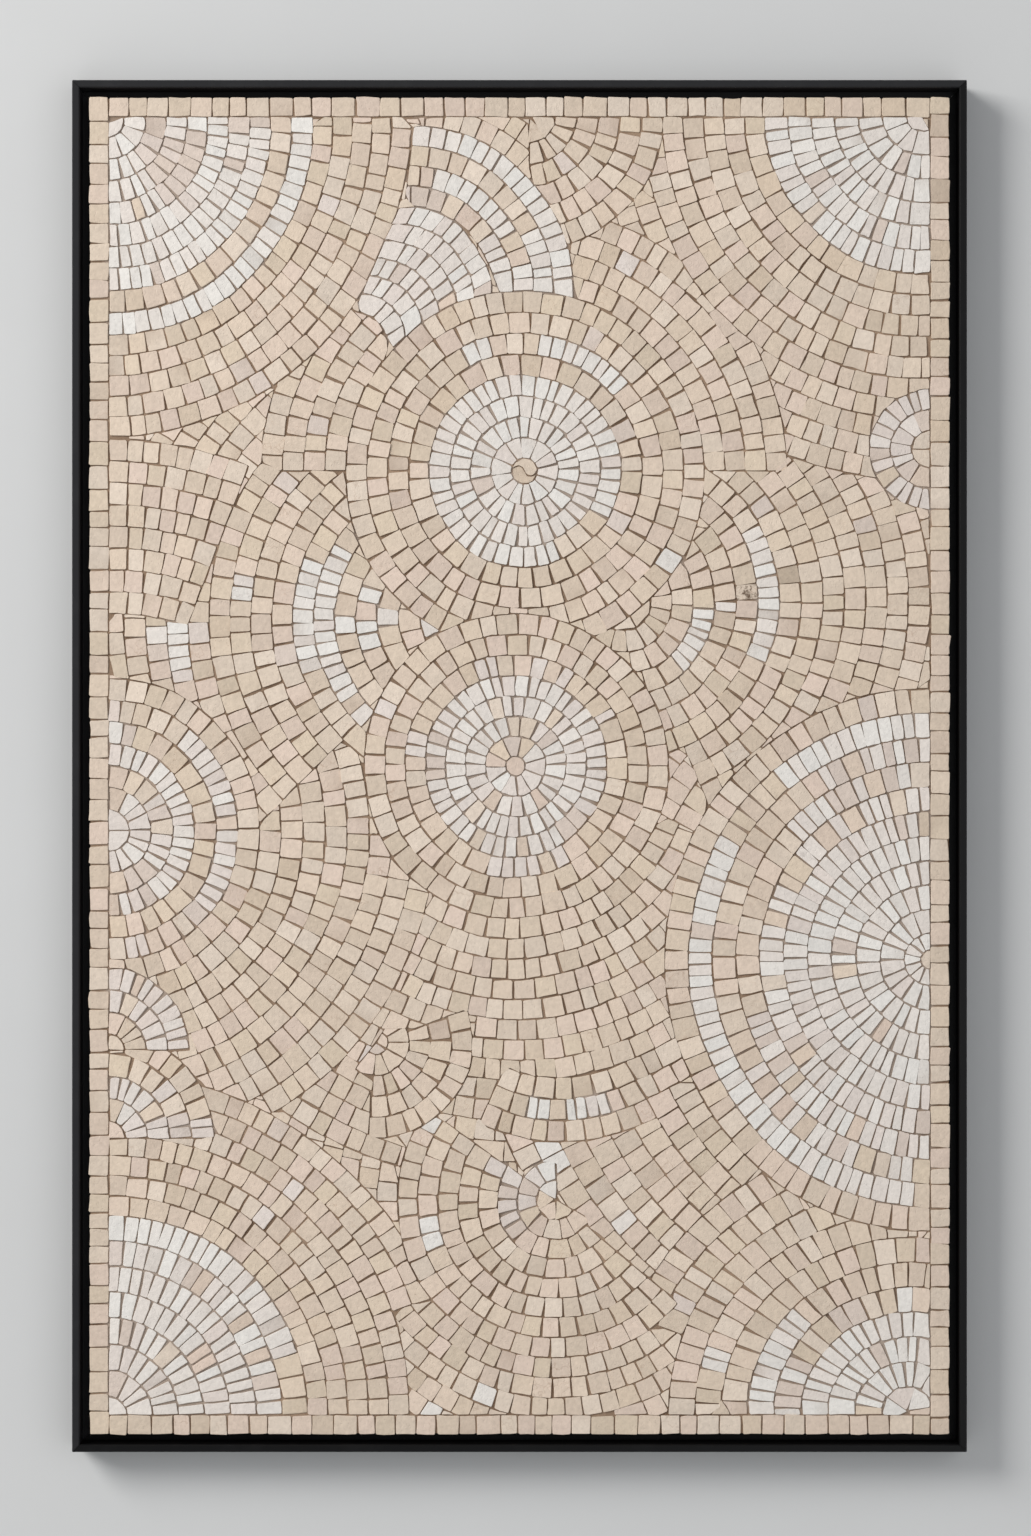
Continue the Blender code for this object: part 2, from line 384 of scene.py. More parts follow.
@dataclass(frozen=True)
class BoardFinish:
    """Sealed board of pressed wood fibres."""

    dark: tuple = linear(136, 104, 74)
    pale: tuple = linear(170, 136, 100)
    fibre_size: float = 0.0022
    cloud_size: float = 0.220
    fibre_depth: float = 0.00012

    def material(self) -> bpy.types.Material:
        """Make the material.

        Returns:
            The material.
        """
        graph = Graph("carrier_board")
        place = graph.place()
        stretched = graph.vector("MULTIPLY", place, (1.0, 1.0, 0.25))
        fibres = graph.noise(stretched, self.fibre_size, 4.0, 0.7)
        clouds = graph.noise(place, self.cloud_size, 3.0)
        mottle = graph.spread(0.72 * fibres + 0.28 * clouds, 0.32, 0.68)
        graph.feed({
            "Base Color": graph.blend(mottle, self.dark, self.pale),
            "Roughness": 0.62 + 0.15 * fibres,
            "Normal": graph.bump(fibres, self.fibre_depth),
        })
        return graph.material


# One black paint in two copies for the frame's rails: the lighter one is painted light on the top and
# left rails, the darker one painted shade on the right and bottom rails.
LIT_RAIL_BLACK = PaintFinish("painted_light_black_frame", linear(36, 36, 38), linear(50, 50, 51))
SHADED_RAIL_BLACK = PaintFinish("painted_shade_black_frame", linear(5, 5, 6), linear(20, 20, 21))
CREAM = StoneFinish(
    name="cream_stone",
    tints=(
        linear(217, 200, 178),
        linear(220, 202, 183),
        linear(222, 202, 187),
        linear(219, 201, 181),
        linear(226, 211, 195),
        linear(214, 195, 173),
    ),
    vein=linear(158, 124, 98),
    roughness=0.62,
)
WHITE = StoneFinish(
    name="white_stone",
    tints=(
        linear(214, 198, 185),
        linear(220, 206, 196),
        linear(226, 215, 207),
        linear(230, 222, 214),
        linear(232, 228, 222),
    ),
    vein=linear(170, 160, 152),
    roughness=0.56,
    cloud=0.10,
    shade_range=0.10,
)


# ---------------- The pattern ----------------


@dataclass(frozen=True)
class Panel:
    """Where the parts of the panel lie."""

    centre_x: float  # the middle of the field
    centre_z: float
    half_width: float  # of the field
    half_height: float
    border: float  # the width of the border row
    face_y: float  # the y of the stones' faces
    stone_depth: float  # how thick the stones are
    joint: float  # the nominal gap between stones

    @classmethod
    def read(cls, joint: float = 0.0012) -> "Panel":
        """Work the places out from the frame, whose stones end half a joint inside the field.

        Args:
            joint: the nominal gap between stones.

        Returns:
            The panel's places.
        """
        low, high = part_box("cream_ground")
        side_low, side_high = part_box("border_left")
        return cls(
            centre_x=(low[0] + high[0]) / 2,
            centre_z=(low[2] + high[2]) / 2,
            half_width=(high[0] - low[0] + joint) / 2,
            half_height=(high[2] - low[2] + joint) / 2,
            border=side_high[0] - side_low[0] + joint / 2,
            face_y=low[1],
            stone_depth=high[1] - low[1],
            joint=joint,
        )


PANEL = Panel.read()
LEFT, RIGHT = -PANEL.half_width, PANEL.half_width
BOTTOM, TOP = -PANEL.half_height, PANEL.half_height


@dataclass(frozen=True)
class Fan:
    """Rings of stones about one centre."""

    name: str  # what its pieces are called
    x: float  # the centre, from the middle of the field
    z: float
    hub: float  # the radius of the innermost ring
    pitch: float  # the width of each further ring
    hub_pieces: int = 2  # how many stones the innermost ring is cut into
    tall: float = 1.0  # how much taller than wide the rings are
    drift: Point = (0.0, 0.0)  # how far the innermost ring's centre lies from the outermost one's
    drift_radius: float = 1.0  # the outermost ring's radius, where there is a drift
    nodes: tuple = ()  # the frame's nodes that its white stones stand for, if not those named for it
    core: float = 0.0  # the radius of a single stone in the middle of the hub
    swirled: bool = False  # whether the hub's two stones curl round each other
    stray: float = 0.0009  # how far its rings stray from true circles
    steady_radius: float = 0.08  # from this radius on they stray in full

    @cached_property
    def stands_for(self) -> tuple:
        """The frame's nodes that its white stones stand for."""
        named = tuple(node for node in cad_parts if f"{node}_".startswith(f"{self.name}_"))
        return self.nodes or named

    def radius(self, ring: int) -> float:
        """The outer radius of this many rings, counting the hub as the first."""
        return self.hub + (ring - 1) * self.pitch if ring > 0 else 0.0

    def ring_edge(self, radius: float) -> int:
        """The number of rings whose outer radius lies nearest to this one."""
        return 0 if radius < self.hub / 2 else max(1, round((radius - self.hub) / self.pitch) + 1)

    def point(self, radius: float, degrees: float) -> Point:
        """A place by ring radius and direction.

        Args:
            radius: the ring's radius.
            degrees: anticlockwise from the right.

        Returns:
            x and z.
        """
        share = 1.0 - radius / self.drift_radius
        turn = math.radians(degrees)
        swung = radius + self.wander(radius, turn)
        x = self.x + self.drift[0] * share + swung * math.cos(turn)
        z = self.z + self.drift[1] * share + swung * math.sin(turn) * self.tall
        return x, z

    def wander(self, radius: float, turn: float) -> float:
        """How far a ring laid by eye strays outward from its circle.

        Args:
            radius: the ring's radius.
            turn: the direction in radians.

        Returns:
            The distance.
        """
        slow = math.sin(3 * turn + 40 * self.x + 12 * radius)
        quick = math.sin(8 * turn + 70 * self.z - 20 * radius)
        return self.stray * min(1.0, radius / self.steady_radius) * (slow + 0.6 * quick)

    def polar(self, x: float, z: float) -> Point:
        """The ring radius and the direction in degrees of a place.

        Args:
            x: the place.
            z: the place.

        Returns:
            The radius of the ring through it, and its direction from that ring's centre.
        """
        move_x, move_z = self.drift[0], self.drift[1] / self.tall
        away_x, away_z = x - self.x - move_x, (z - self.z) / self.tall - move_z
        if move_x or move_z:
            along = (away_x * move_x + away_z * move_z) / self.drift_radius
            rest = 1.0 - (move_x**2 + move_z**2) / self.drift_radius**2
            under_root = along**2 + rest * (away_x**2 + away_z**2)
            if under_root < 0.0:
                return math.inf, 0.0
            radius = (along + math.sqrt(under_root)) / rest
            away_x += move_x * radius / self.drift_radius
            away_z += move_z * radius / self.drift_radius
        else:
            radius = math.hypot(away_x, away_z)
        turn = math.atan2(away_z, away_x)
        return radius - self.wander(radius, turn), math.degrees(turn)


def within(degrees: float, start: float, end: float) -> bool:
    """True if a direction lies from start anticlockwise to end."""
    return (degrees - start) % 360.0 <= end - start


@dataclass(frozen=True)
class Edge:
    """A straight limit: what lies on the side that the direction points to is kept."""

    x: float  # a place on it
    z: float
    degrees: float  # the direction

    def keeps(self, x: float, z: float) -> bool:
        """True if the place is on the kept side."""
        turn = math.radians(self.degrees)
        return (x - self.x) * math.cos(turn) + (z - self.z) * math.sin(turn) >= 0.0


@dataclass(frozen=True)
class Claim:
    """Rings of a fan that take their ground before any claim listed later."""

    fan: Fan  # whose rings they are
    inner: float  # about where they begin; it moves to the nearest ring edge
    outer: float  # about where they end
    start: float  # the direction they start from
    end: float  # the direction they end at, anticlockwise
    edges: tuple = ()  # straight limits

    @cached_property
    def rings(self) -> range:
        """The numbers of its rings, where 0 is the hub."""
        return range(self.fan.ring_edge(self.inner), self.fan.ring_edge(self.outer))

    @cached_property
    def limits(self) -> tuple[float, float, float]:
        """Its inner and outer radius, and how far it reaches from its fan's centre.

        Returns:
            The three distances.
        """
        low, high = self.fan.radius(self.rings.start), self.fan.radius(self.rings.stop)
        reach = high * max(1.0, self.fan.tall) + abs(self.fan.drift[0]) + abs(self.fan.drift[1])
        return low, high, reach

    def holds(self, x: float, z: float) -> bool:
        """True if the place is on these rings.

        Args:
            x: the place.
            z: the place.

        Returns:
            Whether it is claimed.
        """
        low, high, reach = self.limits
        if abs(x - self.fan.x) > reach or abs(z - self.fan.z) > reach:
            return False
        radius, degrees = self.fan.polar(x, z)
        if not low <= radius < high or not within(degrees, self.start, self.end):
            return False
        return all(edge.keeps(x, z) for edge in self.edges)


@dataclass(frozen=True)
class Whites:
    """A stretch of a fan's rings where some stones are white."""

    inner: float  # from this radius
    outer: float  # to this radius
    start: float  # from this direction
    end: float  # to this direction
    share: float  # how many of the stones there are white
    length: float = 0.0120  # how long a stone there is along the ring
    purity: float = 0.85  # 0 for pinkish white stones, 1 for the brightest


TOP_LEFT = Fan("corner_fan_top_left", LEFT, TOP - 0.0045, 0.0153, 0.0213, 1, tall=1.04)
TOP_LEFT_RINGS = Fan("corner_rings_top_left", LEFT, TOP - 0.0045, 0.0120, 0.0195, tall=1.04)
TOP_RIGHT = Fan("corner_fan_top_right", RIGHT - 0.0085, TOP, 0.0148, 0.0239, 1)
TOP_RIGHT_RINGS = Fan("corner_rings_top_right", RIGHT - 0.0085, TOP, 0.0124, 0.0208)
BOTTOM_LEFT = Fan("corner_fan_bottom_left", LEFT, BOTTOM, 0.0185, 0.0261, 1)
BOTTOM_LEFT_RINGS = Fan("corner_rings_bottom_left", LEFT, BOTTOM, 0.0162, 0.0205)
BOTTOM_RIGHT = Fan(
    "corner_fan_bottom_right", RIGHT - 0.0226, BOTTOM + 0.0040, 0.0262, 0.0268, 3, tall=0.935
)
UPPER_ROSETTE = Fan("upper_rosette", 0.005, 0.297, 0.013, 0.0210, swirled=True)
LOWER_ROSETTE = Fan("lower_rosette", -0.004, 0.000, 0.010, 0.0205, 1)
LEFT_HALF = Fan("left_half_rosette", LEFT, -0.065, 0.021, 0.0220)
SMALL_RIGHT_HALF = Fan("small_half_rosette", RIGHT, 0.319, 0.019, 0.0210)
LARGE_RIGHT_HALF = Fan(
    "large_half_rosette", RIGHT, -0.195, 0.026, 0.0242, 7, tall=1.02, core=0.0095
)
LEFT_FAN = Fan("left_fan", -0.057, 0.147, 0.0214, 0.0214, 3)
RIGHT_FAN = Fan("right_fan", 0.104, 0.165, 0.0075, 0.0215, 1)
SHELL_RIM = Fan(
    "shell_rim", -0.112, 0.477, 0.0254, 0.0203,
    nodes=("shell_fan_outer_band", "shell_fan_inner_band"),
)
SHELL_HEART = Fan(
    "shell_heart", -0.1140, 0.477, 0.0337, 0.0088,
    drift=(-0.0865, -0.0865), drift_radius=0.0865, nodes=("shell_fan_heart",),
)
TOP_FAN = Fan("top_fan", 0.010, TOP, 0.026, 0.0217)
UPPER_SIDE_FAN = Fan("upper_side_fan", LEFT, -0.286, 0.016, 0.0220, 1)
LOWER_SIDE_FAN = Fan("lower_side_fan", LEFT, -0.375, 0.017, 0.0225, 1)
BASE_FAN = Fan("base_fan", 0.037, -0.437, 0.020, 0.0200, 4)
SWAG = Fan("swag", 0.041, -0.184, 0.131, 0.0213)
MIDDLE_FAN = Fan("middle_fan", -0.1443, -0.2786, 0.012, 0.0212)

CLAIMS = (
    Claim(LOWER_ROSETTE, 0.000, 0.145, 0, 360),
    Claim(UPPER_ROSETTE, 0.000, 0.172, 0, 360),
    Claim(UPPER_ROSETTE, 0.160, 0.188, 40, 135),
    Claim(TOP_LEFT, 0.000, 0.207, 270, 375),
    Claim(TOP_RIGHT, 0.000, 0.158, 180, 300),
    Claim(BOTTOM_LEFT, 0.000, 0.201, 0, 90),
    Claim(BOTTOM_RIGHT, 0.000, 0.187, 12, 210),
    Claim(SMALL_RIGHT_HALF, 0.000, 0.061, 90, 270),
    Claim(SHELL_RIM, 0.084, 0.167, -10, 120, (Edge(-0.111, 0.604, -6.5),)),
    Claim(SHELL_HEART, 0.020, 0.0865, -20, 140, (Edge(-0.118, 0.569, -23.8),)),
    Claim(TOP_FAN, 0.000, 0.135, 270, 360, (Edge(0.002, 0.653, 9.6),)),
    Claim(SHELL_RIM, 0.165, 0.240, 25, 95, (Edge(-0.110, 0.570, 0.0),)),
    Claim(UPPER_SIDE_FAN, 0.000, 0.082, 0, 90),
    Claim(LOWER_SIDE_FAN, 0.000, 0.107, 0, 90),
    Claim(LEFT_HALF, 0.000, 0.153, -90, 90),
    Claim(LARGE_RIGHT_HALF, 0.000, 0.268, 90, 270),
    Claim(RIGHT_FAN, 0.000, 0.062, 0, 360),
    Claim(RIGHT_FAN, 0.040, 0.158, -75, 60),
    Claim(LEFT_FAN, 0.000, 0.171, 90, 250),
    Claim(SWAG, 0.110, 0.195, 245, 300),
    Claim(MIDDLE_FAN, 0.000, 0.033, -130, 60),
    Claim(MIDDLE_FAN, 0.033, 0.097, -95, 20),
    Claim(BASE_FAN, 0.000, 0.040, 90, 330),
    Claim(BASE_FAN, 0.040, 0.162, 145, 320),
    Claim(TOP_LEFT_RINGS, 0.207, 0.305, 270, 375),
    Claim(TOP_RIGHT_RINGS, 0.158, 0.284, 180, 300),
    Claim(BOTTOM_RIGHT, 0.187, 0.240, 90, 210),
    Claim(BOTTOM_RIGHT, 0.240, 0.290, 90, 160),
    Claim(BOTTOM_LEFT_RINGS, 0.201, 0.304, 0, 90),
    Claim(BOTTOM_LEFT_RINGS, 0.304, 0.350, 20, 90),
    Claim(BASE_FAN, 0.160, 0.280, 205, 325),
    Claim(UPPER_ROSETTE, 0.150, 0.275, 0, 180, (Edge(-0.221, 0.288, 65.0),)),
    Claim(LEFT_HALF, 0.211, 0.392, 69, 90),
    Claim(LEFT_FAN, 0.150, 0.360, 120, 225),
    Claim(LEFT_HALF, 0.140, 0.322, -60, 68),
    Claim(LEFT_HALF, 0.140, 0.300, -90, -60),
    Claim(TOP_RIGHT_RINGS, 0.280, 0.360, 210, 300),
    Claim(RIGHT_FAN, 0.150, 0.352, -67, 90),
    Claim(LARGE_RIGHT_HALF, 0.260, 0.350, 90, 152),
    Claim(LOWER_ROSETTE, 0.130, 0.360, 180, 360),
    Claim(LARGE_RIGHT_HALF, 0.260, 0.460, 180, 270),
    Claim(LOWER_ROSETTE, 0.350, 0.420, 180, 290),
    Claim(TOP_LEFT_RINGS, 0.290, 0.350, 270, 375),
    Claim(TOP_RIGHT_RINGS, 0.280, 0.520, 180, 300),
    Claim(BASE_FAN, 0.040, 0.900, 0, 360),
)

WHITES = {
    TOP_LEFT: (
        Whites(0.000, 0.037, 270, 375, 1.00),
        Whites(0.037, 0.102, 305, 348, 0.88, 0.0125, 0.12),
        Whites(0.037, 0.165, 270, 375, 0.95, 0.0122),
        Whites(0.186, 0.208, 270, 375, 1.00, 0.0125, 0.95),
    ),
    TOP_RIGHT: (
        Whites(0.000, 0.159, 180, 300, 0.97, 0.0125),
    ),
    BOTTOM_LEFT: (
        Whites(0.000, 0.172, 0, 90, 0.90, 0.0125, 0.75),
        Whites(0.172, 0.201, 14, 90, 0.96, 0.0135, 0.80),
    ),
    BOTTOM_RIGHT: (
        Whites(0.000, 0.107, 0, 220, 0.95),
        Whites(0.107, 0.133, 88, 155, 0.22, 0.0150),
        Whites(0.107, 0.133, 155, 200, 0.60),
        Whites(0.133, 0.160, 135, 200, 0.85, 0.0135),
        Whites(0.133, 0.160, 90, 135, 0.08, 0.0170),
        Whites(0.187, 0.214, 160, 169, 1.00),
    ),
    UPPER_ROSETTE: (
        Whites(0.013, 0.076, 0, 360, 0.97, 0.0120, 0.80),
        Whites(0.076, 0.097, -40, 290, 0.98, 0.0120, 0.80),
        Whites(0.118, 0.139, 38, 84, 1.00, 0.0125),
        Whites(0.118, 0.139, 106, 118, 1.00, 0.0125),
    ),
    LOWER_ROSETTE: (
        Whites(0.000, 0.092, 0, 360, 0.90, 0.0120, 0.70),
        Whites(0.092, 0.113, 20, 200, 0.30, 0.0120, 0.45),
        Whites(0.092, 0.113, 255, 300, 0.60, 0.0120, 0.45),
    ),
    LEFT_HALF: (
        Whites(0.000, 0.043, -90, 90, 0.90, 0.0120, 0.60),
        Whites(0.043, 0.065, -90, 90, 0.50, 0.0120, 0.55),
        Whites(0.065, 0.087, -90, 90, 0.90, 0.0120, 0.70),
        Whites(0.087, 0.131, 75, 90, 0.80, 0.0120, 0.55),
        Whites(0.109, 0.131, -45, 50, 0.90, 0.0120, 0.55),
        Whites(0.109, 0.131, -90, -45, 0.45, 0.0120, 0.35),
    ),
    SMALL_RIGHT_HALF: (
        Whites(0.040, 0.061, 90, 270, 0.92, 0.0120, 0.60),
        Whites(0.019, 0.040, 90, 270, 0.50, 0.0120, 0.60),
    ),
    LARGE_RIGHT_HALF: (
        Whites(0.000, 0.123, 90, 270, 0.95),
        Whites(0.123, 0.147, 90, 270, 0.86, 0.0120, 0.70),
        Whites(0.147, 0.171, 90, 150, 0.50, 0.0120, 0.70),
        Whites(0.147, 0.171, 150, 270, 0.66, 0.0120, 0.70),
        Whites(0.171, 0.196, 90, 135, 0.42, 0.0120, 0.70),
        Whites(0.171, 0.196, 195, 270, 0.56, 0.0120, 0.70),
        Whites(0.196, 0.220, 90, 122, 0.50, 0.0120, 0.70),
        Whites(0.196, 0.220, 198, 270, 0.50, 0.0120, 0.70),
        Whites(0.220, 0.244, 90, 128, 0.92, 0.0135),
        Whites(0.220, 0.244, 128, 158, 0.50, 0.0150),
        Whites(0.220, 0.244, 158, 196, 0.85, 0.0140),
        Whites(0.220, 0.244, 196, 266, 0.96, 0.0135),
        Whites(0.389, 0.413, 217, 221, 1.00, 0.0150),
    ),
    LEFT_FAN: (
        Whites(0.128, 0.149, 142, 226, 0.95, 0.0125),
        Whites(0.149, 0.171, 157, 198, 0.95, 0.0125),
        Whites(0.107, 0.128, 174, 181, 1.00, 0.0180),
        Whites(0.085, 0.107, 155, 200, 0.70, 0.0150),
        Whites(0.043, 0.086, 172, 186, 1.00, 0.0150),
        Whites(0.021, 0.043, 178, 225, 0.90),
        Whites(0.285, 0.308, 170, 192, 0.85, 0.0130),
        Whites(0.308, 0.330, 173, 186, 0.60, 0.0170),
        Whites(0.212, 0.235, 168, 172, 1.00),
    ),
    RIGHT_FAN: (
        Whites(0.072, 0.094, -57, 0, 1.00),
        Whites(0.094, 0.115, -5, 2, 1.00),
        Whites(0.137, 0.158, -25, 28, 1.00),
        Whites(0.050, 0.072, 28, 42, 1.00),
    ),
    SHELL_RIM: (
        Whites(0.147, 0.168, -40, 120, 1.00, 0.0145),
        Whites(0.126, 0.147, -40, 24, 1.00, 0.0125),
        Whites(0.106, 0.126, 27, 82, 1.00, 0.0140),
        Whites(0.106, 0.126, -40, 8, 0.80, 0.0125),
        Whites(0.084, 0.106, -40, 32, 0.85, 0.0130, 0.60),
        Whites(0.084, 0.106, 60, 100, 1.00, 0.0170, 0.10),
    ),
    SHELL_HEART: (
        Whites(0.000, 0.087, -40, 200, 0.88, 0.0130, 0.70),
    ),
    UPPER_SIDE_FAN: (
        Whites(0.038, 0.082, 0, 90, 0.88, 0.0120, 0.60),
    ),
    LOWER_SIDE_FAN: (
        Whites(0.017, 0.040, 0, 60, 0.70, 0.0120, 0.60),
        Whites(0.040, 0.062, 0, 90, 0.85, 0.0120, 0.60),
        Whites(0.062, 0.107, 0, 12, 1.00, 0.0120, 0.60),
    ),
    BASE_FAN: (
        Whites(0.000, 0.040, 60, 140, 1.00, 0.0160),
        Whites(0.020, 0.060, 120, 222, 0.85, 0.0140, 0.35),
        Whites(0.120, 0.140, 187, 203, 1.00, 0.0170),
    ),
    SWAG: (
        Whites(0.150, 0.174, 257, 266, 1.00),
        Whites(0.150, 0.174, 271, 290, 1.00),
    ),
}

# Single stones of their own, by a place on each: white, stained, and dull and dark.
LONE_WHITES = (
    (0.160, 0.204), (-0.093, -0.363), (-0.093, -0.645), (-0.029, -0.645), (0.019, -0.387),
    (0.041, -0.397),
)
STAINED_PLACES = ((0.232, 0.179),)
DULL_PLACES = ((0.270, 0.198),)


class Colour(Enum):
    """What a stone is cut from."""

    CREAM = "cream"
    WHITE = "white"


FINISHES = {Colour.CREAM: CREAM, Colour.WHITE: WHITE}


@dataclass
class Stone:
    """One stone: its outline on the picture, what it is cut from, and its own chance numbers."""

    outline: list[Point]  # its corners, anticlockwise seen from the front
    colour: Colour  # what it is cut from
    cut: tuple[float, float, float]  # tint, shade and vein, each from 0 to 1


def toward(start: Point, end: Point, share: float) -> Point:
    """The place a share of the way from one place to another."""
    return start[0] + (end[0] - start[0]) * share, start[1] + (end[1] - start[1]) * share


def middle_of(outline: Sequence[Point]) -> Point:
    """The mean of an outline's corners."""
    count = len(outline)
    return sum(x for x, _ in outline) / count, sum(z for _, z in outline) / count


def patch_at(fan: Fan, radius: float, degrees: float) -> Union[Whites, None]:
    """The stretch of white stones that a place lies in, if any.

    Args:
        fan: the fan it is on.
        radius: its ring's radius.
        degrees: its direction.

    Returns:
        The first stretch listed that holds it.
    """
    for patch in WHITES.get(fan, ()):
        if patch.inner <= radius < patch.outer and within(degrees, patch.start, patch.end):
            return patch
    return None


def area_of(outline: Sequence[Point]) -> float:
    """The area of an outline, positive if it runs anticlockwise."""
    pairs = zip(outline, [*outline[1:], *outline[:1]])
    return sum(a[0] * b[1] - b[0] * a[1] for a, b in pairs) / 2


def crossings(outline: Sequence[Point], z: float) -> list[float]:
    """Where an outline crosses a height.

    Args:
        outline: its corners.
        z: the height.

    Returns:
        The x of each crossing, from the left.
    """
    found = []
    for (ax, az), (bx, bz) in zip(outline, [*outline[1:], outline[0]]):
        if (az <= z) != (bz <= z):
            found.append(ax + (bx - ax) * (z - az) / (bz - az))
    return sorted(found)


def lies_in(outline: Sequence[Point], place: Point) -> bool:
    """True if a place lies within an outline."""
    return sum(x < place[0] for x in crossings(outline, place[1])) % 2 == 1


def width_of(outline: Sequence[Point]) -> float:
    """About how wide an outline is across its longest stretch."""
    longest = max(math.dist(outline[0], corner) for corner in outline)
    return area_of(outline) / longest


def meeting(start: Point, end: Point, other: Point, other_end: Point) -> Union[Point, None]:
    """Where two straight sides cross.

    Args:
        start: one end of the first side.
        end: its other end.
        other: one end of the second side.
        other_end: its other end.

    Returns:
        The place, or None if they don't cross.
    """
    run_x, run_z = end[0] - start[0], end[1] - start[1]
    other_x, other_z = other_end[0] - other[0], other_end[1] - other[1]
    cross = run_x * other_z - run_z * other_x
    if not cross:
        return None
    away_x, away_z = other[0] - start[0], other[1] - start[1]
    share = (away_x * other_z - away_z * other_x) / cross
    other_share = (away_x * run_z - away_z * run_x) / cross
    if 0.0 < share < 1.0 and 0.0 < other_share < 1.0:
        return toward(start, end, share)
    return None


def untangle(outline: Sequence[Point]) -> list[Point]:
    """An outline without the small loops that a short side leaves when it is drawn in.

    Args:
        outline: its corners.

    Returns:
        The corners of its larger part.
    """
    count = len(outline)
    for first in range(count - 2):
        for second in range(first + 2, count - (first == 0)):
            ends = outline[first + 1], outline[second], outline[(second + 1) % count]
            where = meeting(outline[first], *ends)
            if where and second - first <= count / 2:
                return untangle([*outline[: first + 1], where, *outline[second + 1 :]])
            if where:
                return untangle([where, *outline[first + 1 : second + 1]])
    return list(outline)


@dataclass
class StoneCutter:
    """Shapes a stone's outline: its joints, its corners and the unsteady line of a hand cut."""

    rng: random.Random  # the source of chance
    joint: float  # the nominal gap between stones
    gap: tuple = (0.34, 0.64)  # the share of a joint that a side gives up
    skew: float = 0.50  # how far a side turns, in joints over its length
    shortest_turned: float = 0.006  # a shorter side turns no more than this one
    straight: float = 0.08  # sides that turn less than this have no corner between them
    corner: float = 0.0009  # how much of a side a broken corner takes
    corner_range: tuple = (0.4, 1.7)  # how far corners differ
    most_corner: float = 0.3  # the most that it takes, as a share of the side
    wobble: float = 0.00028  # how far the middle of a side strays
    wavering: float = 0.008  # only sides longer than this waver
    wavers_at: tuple = (0.35, 0.65)  # where along the side
    turn: float = 0.014  # radians, how far a stone is turned askew
    shortest_side: float = 0.0012  # a shorter side of its ground is left out
    narrowest: float = 0.0018  # a narrower stone isn't cut
    least_area: float = 1.2e-5  # nor a smaller one
    least_share: float = 0.4  # nor one that fills less of its ground

    def inset(self, outline: Sequence[Point]) -> list[Point]:
        """Draw each side in by half a joint, a little more or less for each.

        Args:
            outline: the stone's share of the ground, anticlockwise.

        Returns:
            The smaller outline.
        """
        count = len(outline)
        sides = []
        for index, (x, z) in enumerate(outline):
            next_x, next_z = outline[(index + 1) % count]
            length = math.hypot(next_x - x, next_z - z)
            along = ((next_x - x) / length, (next_z - z) / length)
            gap = self.joint * self.rng.uniform(*self.gap)
            skew = self.joint * self.rng.gauss(0.0, self.skew) / max(length, self.shortest_turned)
            start = (x - along[1] * gap, z + along[0] * gap)
            sides.append((start, (along[0] - along[1] * skew, along[1] + along[0] * skew)))
        drawn = []
        for index in range(count):
            (ax, az), (adx, adz) = sides[index - 1]
            (bx, bz), (bdx, bdz) = sides[index]
            cross = adx * bdz - adz * bdx
            if abs(cross) < self.straight:
                drawn.append((bx, bz))
                continue
            share = ((bx - ax) * bdz - (bz - az) * bdx) / cross
            drawn.append((ax + adx * share, az + adz * share))
        return drawn

    def soften(self, outline: Sequence[Point]) -> list[Point]:
        """Break the corners and let the middle of each long side waver.

        Args:
            outline: the drawn-in outline.

        Returns:
            The outline as cut.
        """
        made = []
        for index, (x, z) in enumerate(outline):
            following = outline[(index + 1) % len(outline)]
            for other, is_next in ((outline[index - 1], False), (following, True)):
                length = math.hypot(other[0] - x, other[1] - z)
                corner = self.corner * self.rng.uniform(*self.corner_range)
                share = min(self.most_corner, corner / max(length, TINY))
                made.append((x + (other[0] - x) * share, z + (other[1] - z) * share))
                if is_next and length > self.wavering:
                    at = self.rng.uniform(*self.wavers_at)
                    out = self.rng.gauss(0.0, self.wobble)
                    middle_x = x + (other[0] - x) * at + (other[1] - z) / length * out
                    middle_z = z + (other[1] - z) * at - (other[0] - x) / length * out
                    made.append((middle_x, middle_z))
        return made

    def shape(self, share: Sequence[Point], colour: Colour, tint: float) -> Union[Stone, None]:
        """Cut a stone for a share of the ground.

        Args:
            share: its corners, anticlockwise.
            colour: what it is cut from.
            tint: where it lies in the colour's range of tints.

        Returns:
            The stone, or None if too little is left.
        """
        sides = zip(share, [*share[1:], share[0]])
        tidy = [start for start, end in sides if math.dist(start, end) > self.shortest_side]
        if len(tidy) < 3:
            return None
        mid_x, mid_z = middle_of(tidy)
        turn = self.rng.gauss(0.0, self.turn)
        tidy = [(x - (z - mid_z) * turn, z + (x - mid_x) * turn) for x, z in tidy]
        inner = untangle(self.inset(tidy))
        area = area_of(inner)
        if area < self.least_share * area_of(tidy) or area < self.least_area:
            return None
        if width_of(inner) < self.narrowest:
            return None
        outline = untangle(self.soften(inner))
        return Stone(outline, colour, (tint, self.rng.random(), self.rng.random()))


@dataclass
class Plot:
    """The ground of one stone in a ring."""

    start: float  # the direction where it starts
    end: float  # the direction where it ends
    kind: tuple[Colour, float]  # what its stone is cut from, and the tint
    share: list[Point]  # its corners, anticlockwise, where its claim holds the ground

    @property
    def area(self) -> float:
        """Its area."""
        return area_of(self.share)


